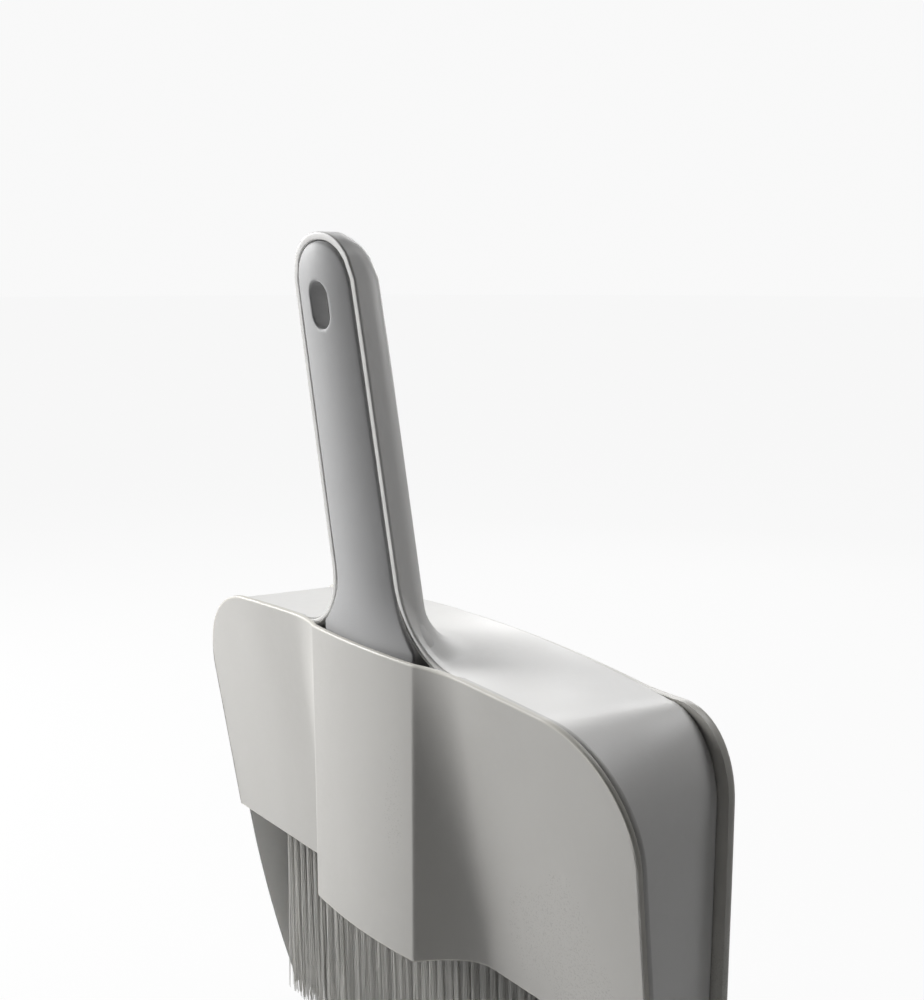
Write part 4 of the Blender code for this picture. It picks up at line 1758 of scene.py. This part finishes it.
    def screw(self, name: str, x: float, tip: float) -> None:
        """A pan-head screw along Y: a turned profile, with a cross pressed into its head.

        Args:
            name: The frame's node that it stands for.
            x: Place across the brush.
            tip: The y of its tip.
        """
        seat = self.block_back - self.recess_depth + GAP
        dome = np.linspace(0, 1, 9)[1:]
        rise = 2.0 * np.sin(np.arccos(dome[::-1] * 0.999))
        head = np.stack([3.0 * dome[::-1], seat + np.maximum(0.3, rise)], axis=-1)
        pitch = np.arange(round((seat - tip - 2.0) / 0.5)) * 0.5 + tip + 1.2
        ridge = np.where(np.arange(len(pitch)) % 2, 1.5, 1.2)
        shaft = np.stack([ridge, pitch], axis=-1)
        profile = np.vstack([[(0.3, tip)], shaft, [(1.5, seat - 0.4), (1.5, seat), (2.9, seat)], head])
        body = turned(profile, (x, 0.0, self.screw_z), 40)
        across = np.hypot(body.points[:, 0] - x, body.points[:, 2] - self.screw_z)
        u, v = np.abs(body.points[:, 0] - x), np.abs(body.points[:, 2] - self.screw_z)
        arm = np.clip((0.55 - np.minimum(u, v)) / 0.2, 0, 1) * np.clip((1.9 - across) / 0.3, 0, 1)
        on_head = body.points[:, 1] > seat + 0.35
        body.points[:, 1] -= np.where(on_head, 1.1 * arm, 0.0)
        add_piece(f"{name}_turned", make_mesh(name, body, sharp=35), ZINC, Body.BRUSH, (name,))


@dataclass
class BristleRow:
    """One row of tufts, each a bundle of fine filaments.

    A filament leaves its tuft's hole, and by the tip it has moved on by the row's lean, by its place in the
    tuft times the spread, and by a bend of its own that grows as the square of the distance.

    Attributes:
        number: The row's number, from the front.
        y: Its middle at the block.
        top: Height where the filaments leave the block.
        tip: Height of the longest tips.
        half_width: Half the row's length.
        pitch: Distance from tuft to tuft.
        tuft_radius: Radius of a tuft at the block.
        filaments: Number of filaments in a tuft.
        lean: How far the tips have moved back, for a row in the block's middle.
        splay: How much that grows for each millimetre that the row lies further back.
        thickness: Radius of a filament.
        levels: Number of sections in a filament.
    """

    number: int
    y: float
    top: float = 93.9
    tip: float = 14.0
    half_width: float = 98.0
    pitch: float = 4.9
    tuft_radius: float = 1.45
    filaments: int = 34
    lean: float = 3.0
    splay: float = 0.06
    thickness: float = 0.15
    levels: int = 6

    @staticmethod
    def all_rows() -> list["BristleRow"]:
        """The five rows, from the front to the back."""
        return [BristleRow(number, -26.2 + 4.6 * (number - 1)) for number in range(1, 6)]

    def build(self) -> None:
        """Builds and dresses the row."""
        rng = np.random.default_rng(40 + self.number)
        stagger = 0.5 * self.pitch * (self.number % 2)
        holes = np.arange(-self.half_width + stagger, self.half_width + 0.01, self.pitch)
        count = len(holes) * self.filaments
        turn = rng.uniform(0, math.tau, count)
        reach = np.sqrt(rng.uniform(0, 1, count))
        place = np.stack([np.cos(turn) * reach, np.sin(turn) * reach], axis=-1)
        hole = np.repeat(holes, self.filaments)
        along = np.linspace(0, 1, self.levels)
        bend = rng.normal(0, 0.55, (count, 2))
        wide = np.array((1.65, 0.62))
        move = place * self.tuft_radius * wide
        lean = self.lean + self.splay * (self.y + 17.0)
        grow = along[None, :, None] ** 1.3
        centre = place[:, None] * self.tuft_radius + move[:, None] * grow
        centre = centre + bend[:, None] * along[None, :, None] ** 2
        x = hole[:, None] * (1 + 0.02 * along) + centre[..., 0]
        y = self.y + centre[..., 1] * 0.9 + lean * along
        length = self.top - self.tip - np.abs(rng.normal(0, 0.7, count))
        z = self.top - length[:, None] * along
        thick = self.thickness * np.concatenate([np.ones(self.levels - 1), [0.55]])
        angle = np.arange(4) / 4 * math.tau
        ring = np.stack([np.cos(angle), np.sin(angle)], axis=-1)
        points = np.empty((count, self.levels, 4, 3))
        points[..., 0] = x[..., None] + thick[:, None] * ring[:, 0]
        points[..., 1] = y[..., None] + thick[:, None] * ring[:, 1]
        points[..., 2] = z[..., None]
        one = grid_faces(self.levels, 4, wrap=True)
        ends = np.array([(3, 2, 1, 0), np.arange(4) + 4 * (self.levels - 1)])
        one = np.vstack([one, ends])
        faces = (one[None] + (np.arange(count) * self.levels * 4)[:, None, None]).reshape(-1, 4)
        tufts = Surface(points.reshape(-1, 3), [faces[:, ::-1]])
        strand = np.repeat(rng.uniform(0, 1, count), self.levels * 4)
        along_all = np.tile(np.repeat(along, 4), count)
        name = f"bristle_row_{self.number}"
        mesh = make_mesh(f"{name}_tufts", tufts, strand=strand, along=along_all)
        add_piece(f"{name}_tufts", mesh, NYLON, Body.BRUSH, (name,))


# ---------------------------------------------------------------- studio


@dataclass
class Studio:
    """Pale floor, soft light and the camera.

    Attributes:
        eye: Where the camera stands, in millimetres.
        target: The point it looks at.
        lens: Its focal length for a 36 mm sensor.
    """

    eye: tuple[float, float, float] = (345.08, -285.32, 324.48)
    target: tuple[float, float, float] = (29.15, -33.62, 249.27)
    lens: float = 46.37

    def build(self) -> None:
        """Builds the floor, the lights, the world and the camera."""
        self.floor()
        self.world()
        self.light("key_light", (-760.0, -470.0, 560.0), 520.0, 14.9)
        self.light("top_light", (-700.0, 500.0, 900.0), 520.0, 1.8)
        self.light("rear_light", (-600.0, 800.0, 500.0), 520.0, 2.2)
        self.light("side_light", (140.0, 480.0, 1000.0), 420.0, 1.5)
        self.light("handle_light", (110.0, 120.0, 340.0), 120.0, 0.12)
        self.camera()

    def floor(self) -> None:
        """A pale disc under the pan, out to where it meets the pale surroundings."""
        angle = np.arange(96) / 96 * math.tau
        radius = np.array((0.0, 0.1, 400.0, 1200.0, 4000.0, 12000.0))[:, None]
        x = radius * np.cos(angle)
        z = np.full_like(x, -0.6)
        disc = loft(np.stack([x, radius * np.sin(angle), z], axis=-1), capped=False)
        disc = facing(Surface(disc.points, [disc.faces[0][96:]]), (0, 0, 1))
        piece = bpy.data.objects.new("studio_floor", make_mesh("studio_floor", disc, is_open=True))
        material = bpy.data.materials.new("studio_pale")
        material.use_nodes = True
        nodes = NodeTree(material.node_tree)
        shader = material.node_tree.nodes["Principled BSDF"]
        shader.inputs["Base Color"].default_value = (0.6, 0.6, 0.6, 1.0)
        shader.inputs["Roughness"].default_value = 0.9
        glow = nodes.add("ShaderNodeEmission", None, Color=(1.0, 1.0, 1.0, 1.0))
        seen = nodes.maths("MULTIPLY", nodes.add("ShaderNodeLightPath").outputs["Is Camera Ray"], 0.93)
        mixed = nodes.add("ShaderNodeMixShader", None, _0=seen, _1=shader.outputs[0], _2=glow.outputs[0])
        under = nodes.add("ShaderNodeNewGeometry").outputs["Backfacing"]
        clear = nodes.add("ShaderNodeBsdfTransparent")
        sided = nodes.add("ShaderNodeMixShader", None, _0=under, _1=mixed.outputs[0], _2=clear.outputs[0])
        output = material.node_tree.nodes["Material Output"]
        material.node_tree.links.new(sided.outputs[0], output.inputs["Surface"])
        piece.data.materials.append(material)
        bpy.context.collection.objects.link(piece)

    def world(self) -> None:
        """Pale surroundings, which light the pieces less than they show."""
        world = bpy.data.worlds.new("studio")
        bpy.context.scene.world = world
        world.use_nodes = True
        nodes = NodeTree(world.node_tree)
        back = world.node_tree.nodes["Background"]
        seen = nodes.add("ShaderNodeLightPath").outputs["Is Camera Ray"]
        colour = nodes.blend(seen, (0.02, 0.02, 0.021, 1.0), (0.945, 0.945, 0.945, 1.0))
        world.node_tree.links.new(colour, back.inputs["Color"])

    def light(self, name: str, place: tuple[float, float, float], size: float, watts: float) -> None:
        """A square soft light that looks at the set.

        Args:
            name: Its name.
            place: Where it stands, in millimetres.
            size: Its side in millimetres.
            watts: Its power.
        """
        data = bpy.data.lights.new(name, "AREA")
        data.shape = "SQUARE"
        data.size = size * MM
        data.energy = watts
        lamp = bpy.data.objects.new(name, data)
        lamp.location = Vector((np.array(place) - ORIGIN) * MM)
        aim = Vector((np.array((0.0, -40.0, 200.0)) - ORIGIN) * MM) - lamp.location
        lamp.rotation_euler = aim.to_track_quat("-Z", "Y").to_euler()
        lamp.visible_camera = False
        bpy.context.collection.objects.link(lamp)

    def camera(self) -> None:
        """The camera, from the front right and a little above."""
        data = bpy.data.cameras.new("camera")
        data.lens = self.lens
        data.sensor_width = 36.0
        data.clip_start = 0.01
        camera = bpy.data.objects.new("camera", data)
        camera.location = Vector((np.array(self.eye) - ORIGIN) * MM)
        aim = Vector((np.array(self.target) - ORIGIN) * MM) - camera.location
        camera.rotation_euler = aim.to_track_quat("-Z", "Y").to_euler()
        bpy.context.collection.objects.link(camera)
        bpy.context.scene.camera = camera


def main() -> None:
    """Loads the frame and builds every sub-assembly in order."""
    logging.basicConfig(level=logging.INFO, format="%(name)s %(message)s")
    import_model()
    bpy.context.scene.view_settings.view_transform = "Standard"
    Studio().build()
    Dustpan().build()
    Brush().build()


if __name__ == "__main__":
    main()
